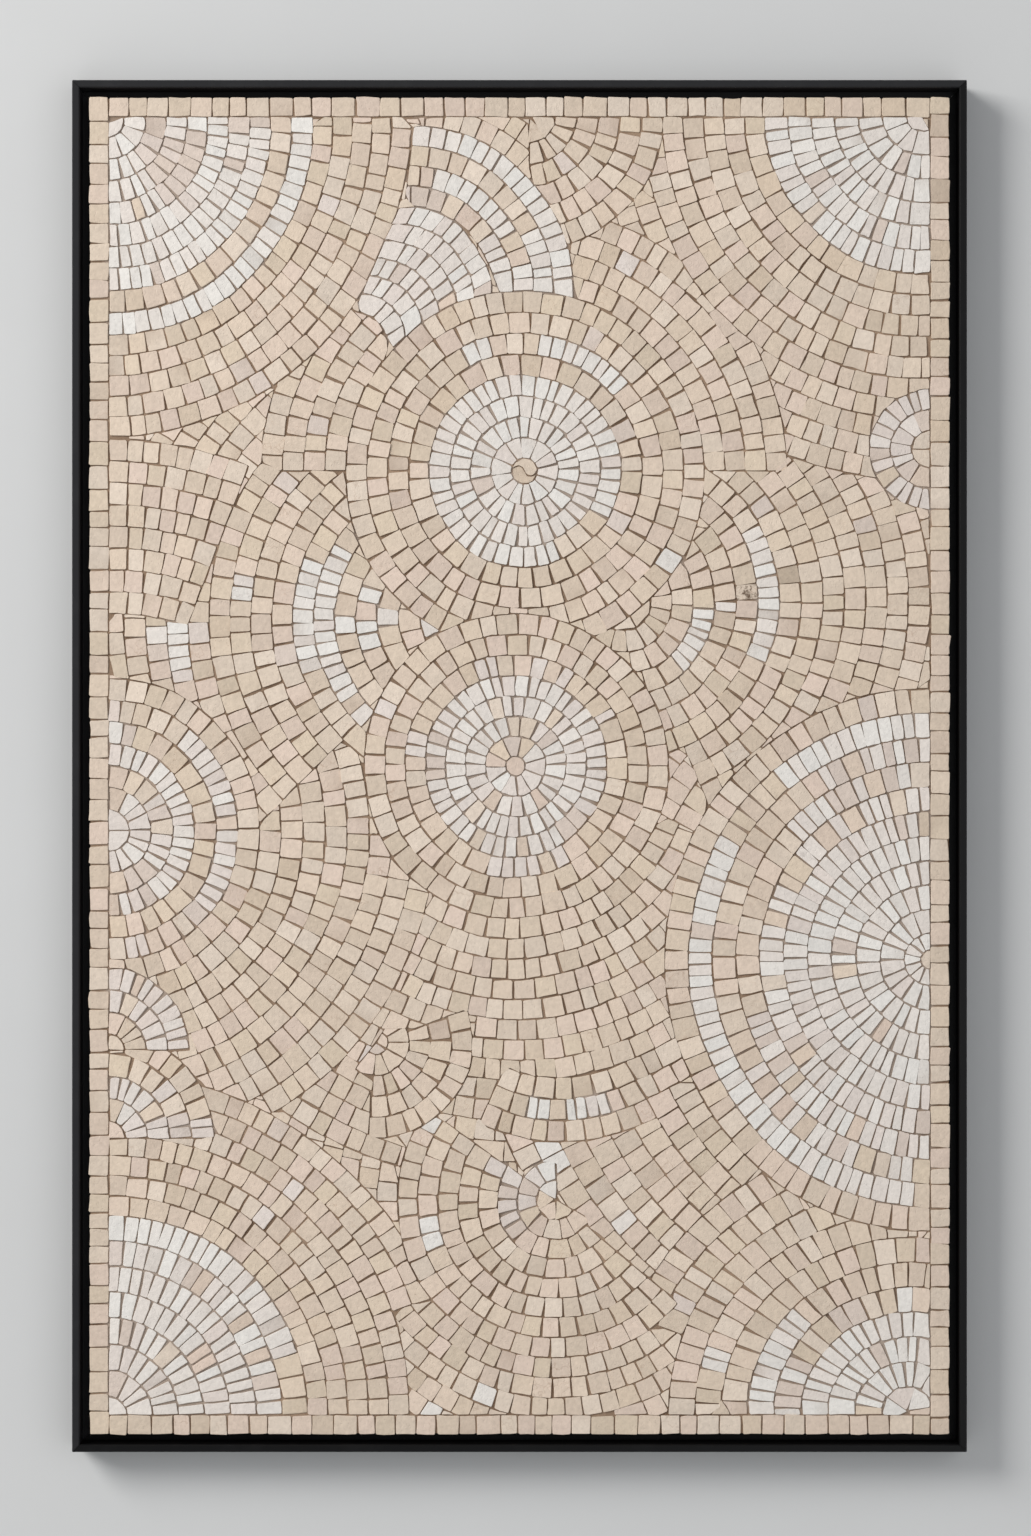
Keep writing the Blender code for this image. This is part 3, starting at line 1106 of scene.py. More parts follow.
@dataclass
class Layer:
    """Lays the field: every claim's rings in turn, each stone cut back to its claim's ground."""

    cutter: StoneCutter  # shapes the stones
    rng: random.Random  # the source of chance
    stones: dict = field(default_factory=dict)  # what is laid, by fan and colour
    shares: list = field(default_factory=list)  # the ground that is taken
    cream_length: float = 0.0190  # along the ring
    length_range: tuple = (0.80, 1.20)  # how far stones differ in length
    hub_radius: float = 0.050  # within it, cream stones are shorter
    hub_shortening: float = 0.72  # by this factor
    mostly_white: float = 0.55  # a stretch with a larger share of whites than this
    among_whites: float = 1.1  # a cream stone's length in it, beside a white one's
    near_whites: float = 0.9  # its length in any other, beside a cream one's elsewhere
    pinkish: float = 0.5  # how many of its cream stones are pinkish whites instead
    purity_spread: float = 0.15  # how far white stones differ in purity
    chance_whites: float = 0.012  # how many stones elsewhere are white by chance
    chance_purity: float = 0.6  # the most that theirs is
    farthest_start: float = 20.0  # degrees, by which a full circle's first joint may move on
    sliver: float = 1.6e-4  # ground of a smaller area joins its neighbour in the ring
    longest: float = 0.0340  # unless the two are longer than this
    squareness: float = 0.60  # how much of a wedge's taper the joints take
    widest_wedge: float = 0.0011  # the most that one joint takes
    wedge_range: tuple = (0.3, 1.3)  # how far joints differ in that
    inner_wedge: float = -0.15  # how much of it the inner corners move, the other way
    hub_facet: int = 30  # degrees
    curl_facet: int = 36  # degrees, round the head and the tail of a swirled hub's stone
    widest_flat: float = 20.0  # degrees; a wider stone may bend with its ring
    least_bend: float = 0.55  # degrees times metres, of turn and radius, for a bend
    flattening: float = 0.2  # how much of the inner radius comes off the outer one there
    narrowest_bend: float = 0.004  # a narrower cut at a seam is straight
    bend_depth: float = 0.00035  # and so is one that would bend less than this
    inward: float = 0.01  # how far inside its outline a stone's ground is looked at
    side_steps: int = 4  # how many places are looked at along each side
    halvings: int = 9  # how often the way to a seam is halved
    lone_purity: float = 0.9  # of the lone white stones

    def owner(self, x: float, z: float) -> Union[Claim, None]:
        """The claim that a place belongs to, or None off the field."""
        on_field = LEFT <= x <= RIGHT and BOTTOM <= z <= TOP
        return next((claim for claim in CLAIMS if claim.holds(x, z)), None) if on_field else None

    def whiteness(self, x: float, z: float) -> float:
        """How many of the stones about a place are white.

        Args:
            x: the place.
            z: the place.

        Returns:
            Their share, from 0 to 1.
        """
        claim = self.owner(x, z)
        patch = patch_at(claim.fan, *claim.fan.polar(x, z)) if claim else None
        return patch.share if patch else 0.0

    def choose(self, fan: Fan, radius: float, degrees: float) -> tuple[Colour, float, float]:
        """Choose what a stone is cut from, its tint, and how long it is along its ring.

        Args:
            fan: its fan.
            radius: the middle of its ring.
            degrees: its direction.

        Returns:
            The colour, the tint from 0 to 1 and the length.
        """
        patch = patch_at(fan, radius, degrees)
        if patch:
            white = self.rng.random() < patch.share
            tint = min(1.0, max(0.0, self.rng.gauss(patch.purity, self.purity_spread)))
            if white:
                return Colour.WHITE, tint, patch.length
            if patch.share > self.mostly_white:
                length = self.among_whites * patch.length
            else:
                length = self.near_whites * self.cream_length
            if self.rng.random() < self.pinkish * patch.share:
                return Colour.WHITE, self.purity_spread * self.rng.random(), length
            return Colour.CREAM, self.rng.random(), length
        length = self.cream_length * (self.hub_shortening if radius < self.hub_radius else 1.0)
        if self.rng.random() < self.chance_whites:
            return Colour.WHITE, self.rng.uniform(0.0, self.chance_purity), length
        return Colour.CREAM, self.rng.random(), length

    def walk(self, claim: Claim, ring: int) -> list[tuple[float, float, tuple[Colour, float]]]:
        """Divide a ring into stones.

        Args:
            claim: whose ring it is.
            ring: its number.

        Returns:
            The start and end of each stone in degrees, with its colour and tint.
        """
        fan = claim.fan
        middle = (fan.radius(ring) + fan.radius(ring + 1)) / 2
        span = claim.end - claim.start
        first = claim.start
        if span >= 360:
            first += self.rng.uniform(0.0, self.farthest_start)
        sizes, kinds, at = [], [], 0.0
        while at < span - TINY:
            colour, tint, length = self.choose(fan, middle, first + at)
            if ring == 0:
                size = span / fan.hub_pieces
            else:
                size = math.degrees(length * self.rng.uniform(*self.length_range) / middle)
            sizes.append(size)
            kinds.append((colour, tint))
            at += size
        stones, here = [], first
        for size, kind in zip(sizes, kinds):
            following = here + size * span / at
            stones.append((here, following, kind))
            here = following
        return stones

    def ring_share(self, fan: Fan, ring: int, start: float, end: float) -> list[Point]:
        """The ground of a stone between two directions, before it is cut back.

        Args:
            fan: its fan.
            ring: its ring's number.
            start: the first direction.
            end: the second direction.

        Returns:
            Its corners, anticlockwise.
        """
        inner, outer, turn = fan.radius(ring), fan.radius(ring + 1), end - start
        if ring == 0 and fan.swirled:
            return self.comma(fan, start)
        if ring == 0 and fan.core:
            inner = fan.core
        elif ring == 0:
            count = max(2, round(turn / self.hub_facet))
            rim = [fan.point(outer, start + turn * n / count) for n in range(count + 1)]
            if turn >= 360:
                return rim[:-1]
            return [fan.point(0.0, start), *rim] if turn < 180 else rim
        bends = turn * (outer - inner * self.flattening) > self.least_bend and turn > self.widest_flat
        bend = [(start + end) / 2] if bends else []
        rim = [fan.point(outer, degrees) for degrees in (start, *bend, end)]
        return [fan.point(inner, start), *rim, *(fan.point(inner, d) for d in (end, *bend))]

    def comma(self, fan: Fan, start: float) -> list[Point]:
        """Half of a swirled hub: half the circle, with a round head and a hollow tail.

        Args:
            fan: its fan.
            start: the direction where its half circle starts.

        Returns:
            The corners, anticlockwise.
        """
        rim = range(0, 180, self.hub_facet)
        outline = [fan.point(fan.hub, start + turn) for turn in rim]
        reach, facet = fan.hub / 2, self.curl_facet
        for way, turns in ((180, range(180, 0, -facet)), (0, range(180, 360, facet))):
            eye_x, eye_z = fan.point(reach, start + way)
            for turn in turns:
                angle = math.radians(start + turn)
                outline.append((eye_x + reach * math.cos(angle), eye_z + reach * math.sin(angle)))
        return outline

    def square_up(self, share: Sequence[Point]) -> list[Point]:
        """Make a wedge more nearly a rectangle, so that the joints take its taper.

        Args:
            share: its inner start, outer start, outer end and inner end corners.

        Returns:
            The corners of the straighter stone.
        """
        inner_start, outer_start, outer_end, inner_end = share
        width = math.dist(outer_start, outer_end)
        taper = 1.0 - math.dist(inner_start, inner_end) / width
        pull = min(self.squareness * taper / 2, self.widest_wedge / width)
        starts, ends = (pull * self.rng.uniform(*self.wedge_range) for _ in range(2))
        return [
            toward(inner_start, inner_end, self.inner_wedge * starts),
            toward(outer_start, outer_end, starts),
            toward(outer_end, outer_start, ends),
            toward(inner_end, inner_start, self.inner_wedge * ends),
        ]

    def cut_back(self, claim: Claim, share: Sequence[Point]) -> list[Point]:
        """Keep the part of a share that its claim owns.

        Args:
            claim: the claim.
            share: the corners.

        Returns:
            The corners of what is left.
        """
        centre = middle_of(share)

        def owned(point: Point) -> bool:
            """True if a place just inside this one belongs to the claim."""
            return self.owner(*toward(point, centre, self.inward)) is claim

        def seam(inside: Point, outside: Point) -> Point:
            """Find where the claim ends.

            Args:
                inside: a place that it owns.
                outside: a place that it doesn't.

            Returns:
                The last place between them that it owns.
            """
            for _ in range(self.halvings):
                middle = toward(inside, outside, 0.5)
                inside, outside = (middle, outside) if owned(middle) else (inside, middle)
            return inside

        if all(owned(point) for point in share):
            return list(share)
        dense, steps = [], self.side_steps
        for point, other in zip(share, [*share[1:], share[0]]):
            dense.extend(toward(point, other, step / steps) for step in range(steps))
        flags = [owned(point) for point in dense]
        if not any(flags):
            return []
        heart = middle_of([point for point, flag in zip(dense, flags) if flag])
        first = flags.index(True)
        kept, lost = [], []
        for index in range(first, first + len(dense)):
            here, following = index % len(dense), (index + 1) % len(dense)
            point, beyond = dense[here], dense[following]
            if not flags[here]:
                lost.append(point)
            elif here % steps == 0:
                kept.append(point)
            if flags[here] and not flags[following]:
                kept.append(seam(point, beyond))
            elif flags[following] and not flags[here]:
                end = seam(beyond, point)
                bend = seam(heart, middle_of(lost))
                width = math.dist(kept[-1], end)
                if width > self.narrowest_bend and owned(heart):
                    if abs(area_of([kept[-1], bend, end])) > self.bend_depth * width:
                        kept.append(bend)
                kept.append(end)
                lost = []
        return kept if len(kept) >= 3 and area_of(kept) > 0 else []

    def lay_ring(self, claim: Claim, ring: int) -> None:
        """Lay one ring, joining each sliver to its neighbour in the ring.

        Args:
            claim: whose ring it is.
            ring: its number.
        """
        fan, laid = claim.fan, []
        middle = (fan.radius(ring) + fan.radius(ring + 1)) / 2
        for start, end, kind in self.walk(claim, ring):
            share = self.cut_back(claim, self.ring_share(fan, ring, start, end))
            plot = Plot(start, end, kind, share)
            before = laid[-1] if ring > 0 and laid and abs(laid[-1].end - start) < TINY else None
            if share and before and min(plot.area, before.area) < self.sliver:
                if math.radians(end - before.start) * middle < self.longest:
                    laid.pop()
                    kind = before.kind if before.area > plot.area else kind
                    share = self.cut_back(claim, self.ring_share(fan, ring, before.start, end))
                    plot = Plot(before.start, end, kind, share)
            if plot.share:
                laid.append(plot)
        for plot in laid:
            whole = plot.share == self.ring_share(fan, ring, plot.start, plot.end)
            ground = self.square_up(plot.share) if whole and len(plot.share) == 4 else plot.share
            self.set_down(fan, plot.share, self.cutter.shape(ground, *plot.kind))
        if ring == 0 and fan.core:
            turns = range(int(claim.start), int(claim.end) + 1, self.hub_facet)
            rim = [fan.point(fan.core, turn) for turn in turns]
            self.set_down(fan, rim, self.cutter.shape(rim, Colour.CREAM, self.rng.random()))

    def set_down(self, fan: Fan, share: Sequence[Point], stone: Union[Stone, None]) -> None:
        """Add a stone to its fan's, and make it white, stained or dull where one such lies.

        Args:
            fan: its fan.
            share: its ground.
            stone: the stone, if there is one.
        """
        if not stone:
            return
        tint, shade, vein = stone.cut
        if any(lies_in(share, place) for place in LONE_WHITES):
            stone.colour = Colour.WHITE
            stone.cut = (self.lone_purity, shade, vein)
        if any(lies_in(share, place) for place in STAINED_PLACES):
            stone.cut = (tint, shade, STAINED)
        if any(lies_in(share, place) for place in DULL_PLACES):
            stone.cut = (1.0, DULL, vein)
        self.stones.setdefault((fan.name, stone.colour), []).append(stone)
        self.shares.append(share)

    def lay_all(self) -> dict:
        """Lay the whole field.

        Returns:
            The stones of each fan and colour.
        """
        for claim in CLAIMS:
            for ring in claim.rings:
                self.lay_ring(claim, ring)
        self.stones["seams", Colour.CREAM] = GapFiller(self.cutter).fill(self.shares)
        return self.stones


@dataclass
class GapFiller:
    """Finds ground that no stone covers, at the seams between fans, and cuts small stones for it."""

    cutter: StoneCutter  # shapes the stones
    step: float = 0.0016  # how far apart the places are that it looks at
    reach: float = 0.024  # the most that one filler spans
    fewest: int = 7  # how many bare places together are worth a stone
    longest: float = 0.018  # about the longest that a filler is
    least_area: float = 8e-6  # the smallest that a filler is
    bent: float = 1.15  # a group whose outline holds this many times its own area is split

    def middle(self, place: Place) -> Point:
        """The middle of a place, by its column and row."""
        return LEFT + (place[0] + 0.5) * self.step, BOTTOM + (place[1] + 0.5) * self.step

    def first(self, distance: float) -> int:
        """The number of the first place this far along or farther."""
        return max(0, math.ceil(distance / self.step - 0.5))

    def bare(self, shares: Iterable[Sequence[Point]]) -> set[Place]:
        """The places that no share covers.

        Args:
            shares: the ground of every stone.

        Returns:
            Column and row of each bare place.
        """
        columns = int((RIGHT - LEFT) / self.step)
        rows = int((TOP - BOTTOM) / self.step)
        open_places = {(column, row) for column in range(columns) for row in range(rows)}
        for share in shares:
            low_z, high_z = min(z for _, z in share), max(z for _, z in share)
            for row in range(self.first(low_z - BOTTOM), rows):
                z = self.middle((0, row))[1]
                if z > high_z:
                    break
                found = crossings(share, z)
                for start, end in zip(found[::2], found[1::2]):
                    column = self.first(start - LEFT)
                    while self.middle((column, row))[0] <= end:
                        open_places.discard((column, row))
                        column += 1
        return open_places

    def clusters(self, places: set[Place]) -> Iterable[list[Place]]:
        """Group bare places that touch, no group wider than the reach.

        Args:
            places: column and row of each; it is used up.

        Yields:
            Each group.
        """
        most = self.reach / self.step
        for seed in sorted(places):
            if seed not in places:
                continue
            places.discard(seed)
            group, waiting = [seed], [seed]
            while waiting:
                column, row = waiting.pop(0)
                for step_x, step_z in ((1, 0), (-1, 0), (0, 1), (0, -1)):
                    near = (column + step_x, row + step_z)
                    if near in places and math.dist(near, seed) < most:
                        places.discard(near)
                        group.append(near)
                        waiting.append(near)
            yield group

    def hull(self, group: Sequence[Place]) -> list[Point]:
        """The outline round a group of bare places.

        Args:
            group: column and row of each.

        Returns:
            The corners, anticlockwise.
        """
        points = sorted(self.middle(place) for place in group)
        corners = []
        for order in (points, points[::-1]):
            chain: list[Point] = []
            for x, z in order:
                while len(chain) > 1 and (
                    (chain[-1][0] - chain[-2][0]) * (z - chain[-2][1])
                    <= (chain[-1][1] - chain[-2][1]) * (x - chain[-2][0])
                ):
                    chain.pop()
                chain.append((x, z))
            corners.extend(chain[:-1])
        return corners

    def fill(self, shares: Iterable[Sequence[Point]]) -> list[Stone]:
        """Cut the fillers.

        Args:
            shares: the ground of every stone laid.

        Returns:
            The filler stones.
        """
        stones = []
        waiting = list(self.clusters(self.bare(shares)))
        while waiting:
            group = waiting.pop()
            outline = self.hull(group) if len(group) >= self.fewest else []
            if len(outline) < 3 or area_of(outline) < self.least_area:
                continue
            bent = area_of(outline) > self.bent * len(group) * self.step**2
            if bent or max(math.dist(corner, outline[0]) for corner in outline) > self.longest:
                waiting.extend(self.halves(group))
            elif width_of(outline) >= self.cutter.narrowest:
                cut = tuple(self.cutter.rng.random() for _ in range(3))
                stones.append(Stone(outline, Colour.CREAM, cut))
        return stones

    @staticmethod
    def halves(group: Sequence[Place]) -> list[list[Place]]:
        """Split a bent group across its longer side.

        Args:
            group: column and row of each place.

        Returns:
            Its two halves.
        """
        spans = [max(axis) - min(axis) for axis in zip(*group)]
        longer = 0 if spans[0] > spans[1] else 1
        ordered = sorted(group, key=lambda place: place[longer])
        return [ordered[: len(ordered) // 2], ordered[len(ordered) // 2 :]]


@dataclass
class Border:
    """The straight rows of cream stones round the field."""

    cutter: StoneCutter  # shapes the stones
    rng: random.Random  # the source of chance
    length: float = 0.0208  # about how long a stone is
    length_range: tuple = (0.80, 1.20)  # how far stones differ in length
    dimming: float = 0.55  # how bright their shades are beside those of the field

    def row(self, start: Point, along: Point, length: float) -> list[Stone]:
        """One row.

        Args:
            start: its inner corner at the start, on its right side looking along it.
            along: the direction it runs in, with the field on its left.
            length: how long it is.

        Returns:
            Its stones.
        """
        count = round(length / self.length)
        sizes = [self.rng.uniform(*self.length_range) for _ in range(count)]
        scale = length / sum(sizes)
        stones, at = [], 0.0
        for size in sizes:
            corners = []
            for run, reach in ((0, 0), (0, 1), (1, 1), (1, 0)):
                step, depth = at + size * scale * run, PANEL.border * reach
                x = start[0] + along[0] * step + along[1] * depth
                z = start[1] + along[1] * step - along[0] * depth
                corners.append((x, z))
            share = corners if area_of(corners) > 0 else corners[::-1]
            stone = self.cutter.shape(share, Colour.CREAM, self.rng.random())
            tint, shade, vein = stone.cut
            stone.cut = (tint, shade * self.dimming, vein)
            stones.append(stone)
            at += size * scale
        return stones

    def rows(self) -> dict[str, list[Stone]]:
        """Make all four rows.

        Returns:
            The stones of each, by its node's name.
        """
        width, height, edge = RIGHT - LEFT, TOP - BOTTOM, PANEL.border
        return {
            "border_bottom": self.row((LEFT, BOTTOM), (1, 0), width),
            "border_top": self.row((RIGHT, TOP), (-1, 0), width),
            "border_right": self.row((RIGHT, BOTTOM - edge), (0, 1), height + 2 * edge),
            "border_left": self.row((LEFT, TOP + edge), (0, -1), height + 2 * edge),
        }


# ---------------- Meshes ----------------


@dataclass
class StoneSetter:
    """Turns outlines into solid stones, a piece of many stones at a time."""

    rng: random.Random  # the source of chance
    materials: dict[Colour, bpy.types.Material]  # what to dress each colour in
    arris: float = 0.0009  # the width of a stone's broken edge
    tilt: float = 0.012  # how far a stone leans, as a slope
    lift: float = 0.00028  # how far it stands out or back

    def faces(self, piece: bpy.types.Object, stones: Sequence[Stone]) -> None:
        """Draw each stone's outline as a face at the rear of the stones, already tilted.

        Args:
            piece: an object in edit mode.
            stones: the stones.
        """
        mesh = bmesh.from_edit_mesh(piece.data)
        bmesh.ops.delete(mesh, geom=mesh.verts, context="VERTS")
        cut = mesh.verts.layers.float_vector.new(CUT)
        rear = PANEL.face_y + PANEL.stone_depth
        for stone in stones:
            mid_x, mid_z = middle_of(stone.outline)
            lean_x = self.rng.gauss(0.0, self.tilt)
            lean_z = self.rng.gauss(0.0, self.tilt)
            lift = self.rng.gauss(0.0, self.lift)
            corners = []
            for x, z in stone.outline:
                y = rear + lift + (x - mid_x) * lean_x + (z - mid_z) * lean_z
                corner = mesh.verts.new((PANEL.centre_x + x, y, PANEL.centre_z + z))
                corner[cut] = stone.cut
                corners.append(corner)
            mesh.faces.new(corners)
        bmesh.update_edit_mesh(piece.data)

    def build(
        self, name: str, stones: Sequence[Stone], colour: Colour, nodes: Union[tuple, None]
    ) -> None:
        """Make one piece and dress it.

        Args:
            name: what the piece is called, before "_stones".
            stones: its stones.
            colour: what they are cut from.
            nodes: the frame's nodes that it stands for, or None for a piece that adds to them.
        """
        bpy.ops.object.select_all(action="DESELECT")
        bpy.ops.mesh.primitive_plane_add(size=0.02)
        piece = bpy.context.active_object
        piece.name = piece.data.name = f"{name}_stones"
        bpy.ops.object.mode_set(mode="EDIT")
        self.faces(piece, stones)
        bpy.ops.mesh.select_mode(type="FACE")
        bpy.ops.mesh.select_all(action="SELECT")
        forward = (0.0, -PANEL.stone_depth, 0.0)
        bpy.ops.mesh.extrude_region_move(TRANSFORM_OT_translate={"value": forward})
        bpy.ops.mesh.bevel(
            offset_type="OFFSET", offset=self.arris, segments=2, profile=0.6, clamp_overlap=True
        )
        bpy.ops.mesh.select_all(action="SELECT")
        bpy.ops.mesh.normals_make_consistent(inside=False)
        bpy.ops.object.mode_set(mode="OBJECT")
        piece.data.materials.clear()
        piece.data.materials.append(self.materials[colour])
        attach(piece, BODY)
        if nodes is not None:
            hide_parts(*nodes)
        LOG.info("%s: %d stones, %d faces", piece.name, len(stones), len(piece.data.polygons))


@dataclass
class MosaicField:
    """All the stones: the fans and the border rows."""

    seed: int = 23

    def build(self) -> Layer:
        """Lay, cut and set every stone, a piece for each fan and colour.

        Returns:
            What laid them.
        """
        rng = random.Random(self.seed)
        cutter = StoneCutter(rng, PANEL.joint)
        layer = Layer(cutter, rng)
        setter = StoneSetter(rng, {kind: FINISHES[kind].material(PANEL.face_y) for kind in Colour})
        nodes = {(claim.fan.name, Colour.WHITE): claim.fan.stands_for for claim in CLAIMS}
        nodes[BASE_FAN.name, Colour.CREAM] = ("cream_ground",)
        for (name, colour), stones in layer.lay_all().items():
            setter.build(f"{name}_{colour.value}", stones, colour, nodes.get((name, colour)))
        for name, stones in Border(cutter, rng).rows().items():
            setter.build(name, stones, Colour.CREAM, (name,))
        return layer


@dataclass
class MortarBed:
    """The mortar: under the stones and up between them, a little way below their faces."""

    below_face: float = 0.0016  # how far its front lies behind the stones' faces
    edge: float = 0.0016  # how far it stops short of the board's edge
    ripple: float = 0.00035  # how uneven its front is
    rim: float = 0.004  # how wide the strip along its edge is that stays even
    cuts: int = 90  # how finely its front is divided
    seed: int = 5  # for its ripples

    def block(self, low: Vector, high: Vector, front: float) -> bpy.types.Object:
        """A plain block with its front face divided.

        Args:
            low: its low corner.
            high: its high corner.
            front: the y of its front.

        Returns:
            The block.
        """
        depth = high.y - front
        centre = ((low.x + high.x) / 2, front + depth / 2, (low.z + high.z) / 2)
        bpy.ops.object.select_all(action="DESELECT")
        bpy.ops.mesh.primitive_cube_add(size=1.0, location=centre)
        piece = bpy.context.active_object
        piece.name = "mortar_bed"
        piece.scale = (high.x - low.x - 2 * self.edge, depth, high.z - low.z - 2 * self.edge)
        bpy.ops.object.transform_apply(location=True, rotation=False, scale=True)
        bpy.ops.object.mode_set(mode="EDIT")
        bpy.ops.mesh.select_mode(type="FACE")
        bpy.ops.mesh.select_all(action="DESELECT")
        mesh = bmesh.from_edit_mesh(piece.data)
        for side in mesh.faces:
            side.select = side.normal.y < -0.5
        bmesh.update_edit_mesh(piece.data)
        bpy.ops.mesh.subdivide(number_cuts=self.cuts)
        bpy.ops.object.mode_set(mode="OBJECT")
        return piece

    def build(self, layer: Layer) -> None:
        """Make the bed and dress it.

        Args:
            layer: what laid the stones in it.
        """
        low, high = (Vector(corner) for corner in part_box("carrier_board"))
        high.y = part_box("setting_bed")[1][1]
        front = PANEL.face_y + self.below_face
        piece = self.block(low, high, front)
        rng = random.Random(self.seed)
        for vertex in piece.data.vertices:
            x, y, z = vertex.co
            inside = abs(x) < high.x - self.rim and low.z + self.rim < z < high.z - self.rim
            if y < front + TINY and inside:
                vertex.co.y += rng.uniform(-self.ripple, self.ripple)
        pale = piece.data.attributes.new(PALE, "FLOAT", "POINT")
        for vertex, shade in zip(piece.data.vertices, pale.data):
            x, _, z = vertex.co
            shade.value = layer.whiteness(x - PANEL.centre_x, z - PANEL.centre_z)
        piece.data.materials.append(MortarFinish().material())
        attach(piece, BODY)
        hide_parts("setting_bed")
        LOG.info("%s: %d faces", piece.name, len(piece.data.polygons))


@dataclass
class FrameAndBoard:
    """The frame's rails, in a lighter and a darker copy of one black paint, and the carrier board,
    whose shapes are the frame's own.
    """

    # top and left rails: painted light, the lighter copy of the black paint
    lit_rails: tuple = ("frame_rail_top", "frame_rail_left")
    # right and bottom rails: painted shade, the darker copy of the black paint
    shaded_rails: tuple = ("frame_rail_right", "frame_rail_bottom")
    board: tuple = ("carrier_board",)

    def dress(self) -> None:
        """Give each its finish: the board its own, the top and left rails the lighter copy of the black
        paint as painted light, and the right and bottom rails the darker copy as painted shade.
        """
        for finish, names in (
            (BoardFinish(), self.board),
            (LIT_RAIL_BLACK, self.lit_rails),
            (SHADED_RAIL_BLACK, self.shaded_rails),
        ):
            material = finish.material()
            for name in names:
                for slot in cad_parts[name].material_slots:
                    slot.material = material
                LOG.info("%s: dressed", name)


# ---------------- The studio ----------------


@dataclass(frozen=True)
class Lamp:
    """A square soft light that points at the middle of the panel."""

    name: str  # its name
    away: tuple  # how far it hangs from the middle of the panel
    size: float  # its side
    watts: float  # its power
    colour: tuple = (1.0, 1.0, 1.0)  # its colour

    def hang(self, centre: Vector) -> None:
        """Hang the light.

        Args:
            centre: the middle of the panel.
        """
        lamp = bpy.data.lights.new(self.name, "AREA")
        lamp.shape = "SQUARE"
        lamp.size = self.size
        lamp.energy = self.watts
        lamp.color = self.colour
        holder = bpy.data.objects.new(self.name, lamp)
        holder.location = centre + Vector(self.away)
        holder.rotation_euler = (-Vector(self.away)).to_track_quat("-Z", "Y").to_euler()
        bpy.context.scene.collection.objects.link(holder)


LAMPS = (
    Lamp("key", (-4.3, -3.6, 2.7), 2.8, 318.0, (1.0, 0.985, 0.965)),
    Lamp("fill", (1.8, -3.6, -0.2), 3.0, 26.0, (0.96, 0.98, 1.0)),
    Lamp("rear", (1.5, 3.5, 1.5), 2.5, 90.0),
)


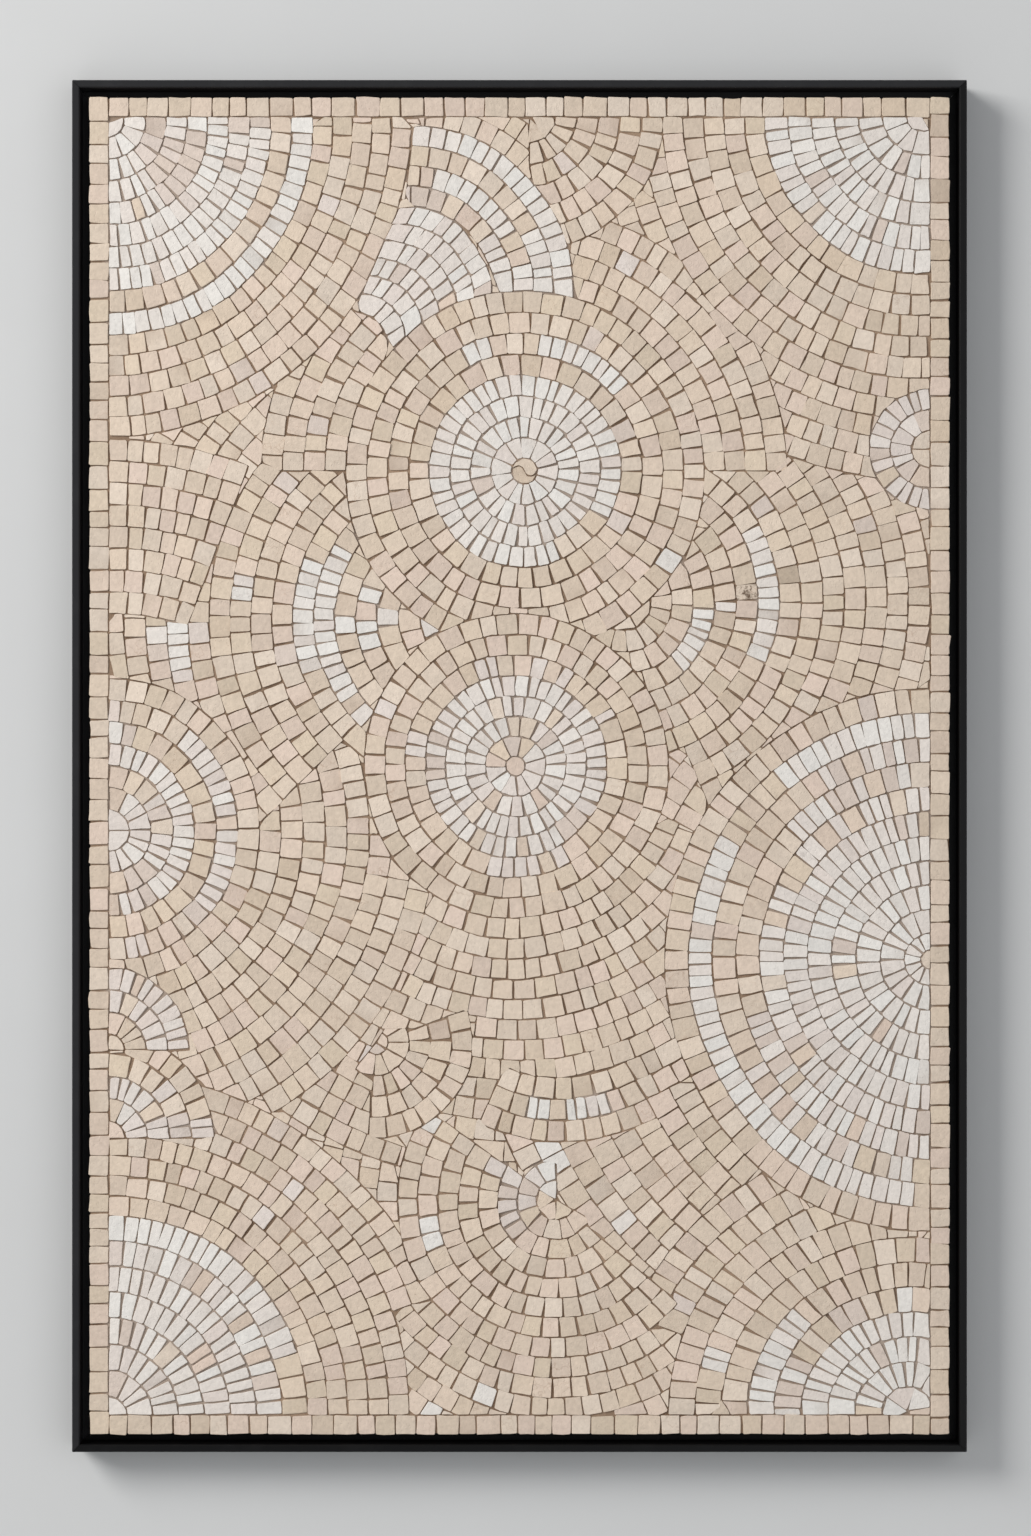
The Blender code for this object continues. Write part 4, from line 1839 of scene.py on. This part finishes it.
@dataclass
class Studio:
    """A pale plastered wall and floor, soft light from the upper left, and the camera."""

    wall_tone: tuple = linear(211, 212, 212)  # the colour of the wall and floor
    mottle: float = 0.06  # how far it varies in lightness
    mottle_size: float = 0.25  # how large its clouds are
    wall_size: float = 9.0  # the wall's side
    wall_gap: float = 0.0015  # how far it stands behind the panel
    wall_rise: float = 1.5  # how much higher its middle is than the panel's
    floor_size: float = 24.0  # the floor's side
    floor_drop: float = 3.0  # how far it lies below the middle of the panel
    sky: tuple = (0.94, 0.95, 0.98, 1.0)  # the colour of the light from all round
    sky_strength: float = 0.33  # how strong that is
    lens: float = 100.0  # the camera's focal length in millimetres
    sensor: float = 36.0  # the width of its sensor in millimetres
    view_height: float = 1.5446  # how much of the scene's height it sees
    aim_x: float = -0.0040  # how far right of the middle of the panel it stands
    aim_z: float = -0.0020  # how far above it

    def stage_material(self, name: str) -> bpy.types.Material:
        """Plain pale plaster, which only shows from its front.

        Args:
            name: the material's name.

        Returns:
            The material.
        """
        graph = Graph(name)
        mottle = graph.noise(graph.place(), self.mottle_size, 4.0, 0.6)
        light = 1.0 - self.mottle / 2 + self.mottle * mottle
        graph.feed({"Base Color": graph.vector("SCALE", self.wall_tone, light), "Roughness": 0.9})
        from_behind = graph.node("ShaderNodeNewGeometry", {}, {}, "Backfacing")
        clear = graph.node("ShaderNodeBsdfTransparent", {}, {})
        plaster = Wire(graph, graph.shader.outputs["BSDF"])
        both = graph.node("ShaderNodeMixShader", {}, {0: from_behind, 1: plaster, 2: clear})
        graph.set(graph.out.inputs["Surface"], both)
        return graph.material

    def plane(self, name: str, location: tuple, turn: tuple, size: float) -> bpy.types.Object:
        """A large one-sided plane of the stage, which casts no shadow.

        Args:
            name: its name.
            location: its centre.
            turn: its rotation in radians.
            size: its side.

        Returns:
            The plane.
        """
        bpy.ops.object.select_all(action="DESELECT")
        bpy.ops.mesh.primitive_plane_add(size=size, location=location, rotation=turn)
        plane = bpy.context.active_object
        plane.name = name
        plane.visible_shadow = False
        plane.data.materials.append(self.stage_material(name))
        plane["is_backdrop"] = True
        return plane

    def point_camera(self, centre: Vector, front: float) -> None:
        """Stand the camera squarely in front of the panel.

        Args:
            centre: the middle of the panel.
            front: the y of its front.
        """
        camera = bpy.data.cameras.new("camera")
        camera.lens = self.lens
        camera.sensor_width = self.sensor
        holder = bpy.data.objects.new("camera", camera)
        distance = self.lens / self.sensor * self.view_height
        holder.location = (centre.x + self.aim_x, front - distance, centre.z + self.aim_z)
        holder.rotation_euler = (math.pi / 2, 0.0, 0.0)
        bpy.context.scene.collection.objects.link(holder)
        bpy.context.scene.camera = holder
        LOG.info("studio: camera %.2f m from the frame", distance)

    def build(self) -> None:
        """Set the stage, the lights and the camera."""
        low, high = (Vector(corner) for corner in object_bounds())
        centre = (low + high) / 2
        upright, flat = (math.pi / 2, 0.0, 0.0), (0.0, 0.0, 0.0)
        behind = (0.0, high.y + self.wall_gap, centre.z + self.wall_rise)
        wall = self.plane("backdrop_wall", behind, upright, self.wall_size)
        wall.visible_diffuse = False
        self.plane("studio_floor", (0.0, 0.0, centre.z - self.floor_drop), flat, self.floor_size)
        for lamp in LAMPS:
            lamp.hang(centre)
        world = bpy.data.worlds.new("studio")
        bpy.context.scene.world = world
        world.use_nodes = True
        background = world.node_tree.nodes["Background"]
        background.inputs["Color"].default_value = self.sky
        background.inputs["Strength"].default_value = self.sky_strength
        bpy.context.scene.view_settings.view_transform = "Standard"
        self.point_camera(centre, low.y)


def main() -> None:
    """Build every piece, then the studio."""
    logging.basicConfig(level=logging.INFO, format="%(name)s: %(message)s")
    FrameAndBoard().dress()
    layer = MosaicField().build()
    MortarBed().build(layer)
    Studio().build()


if __name__ == "__main__":
    main()
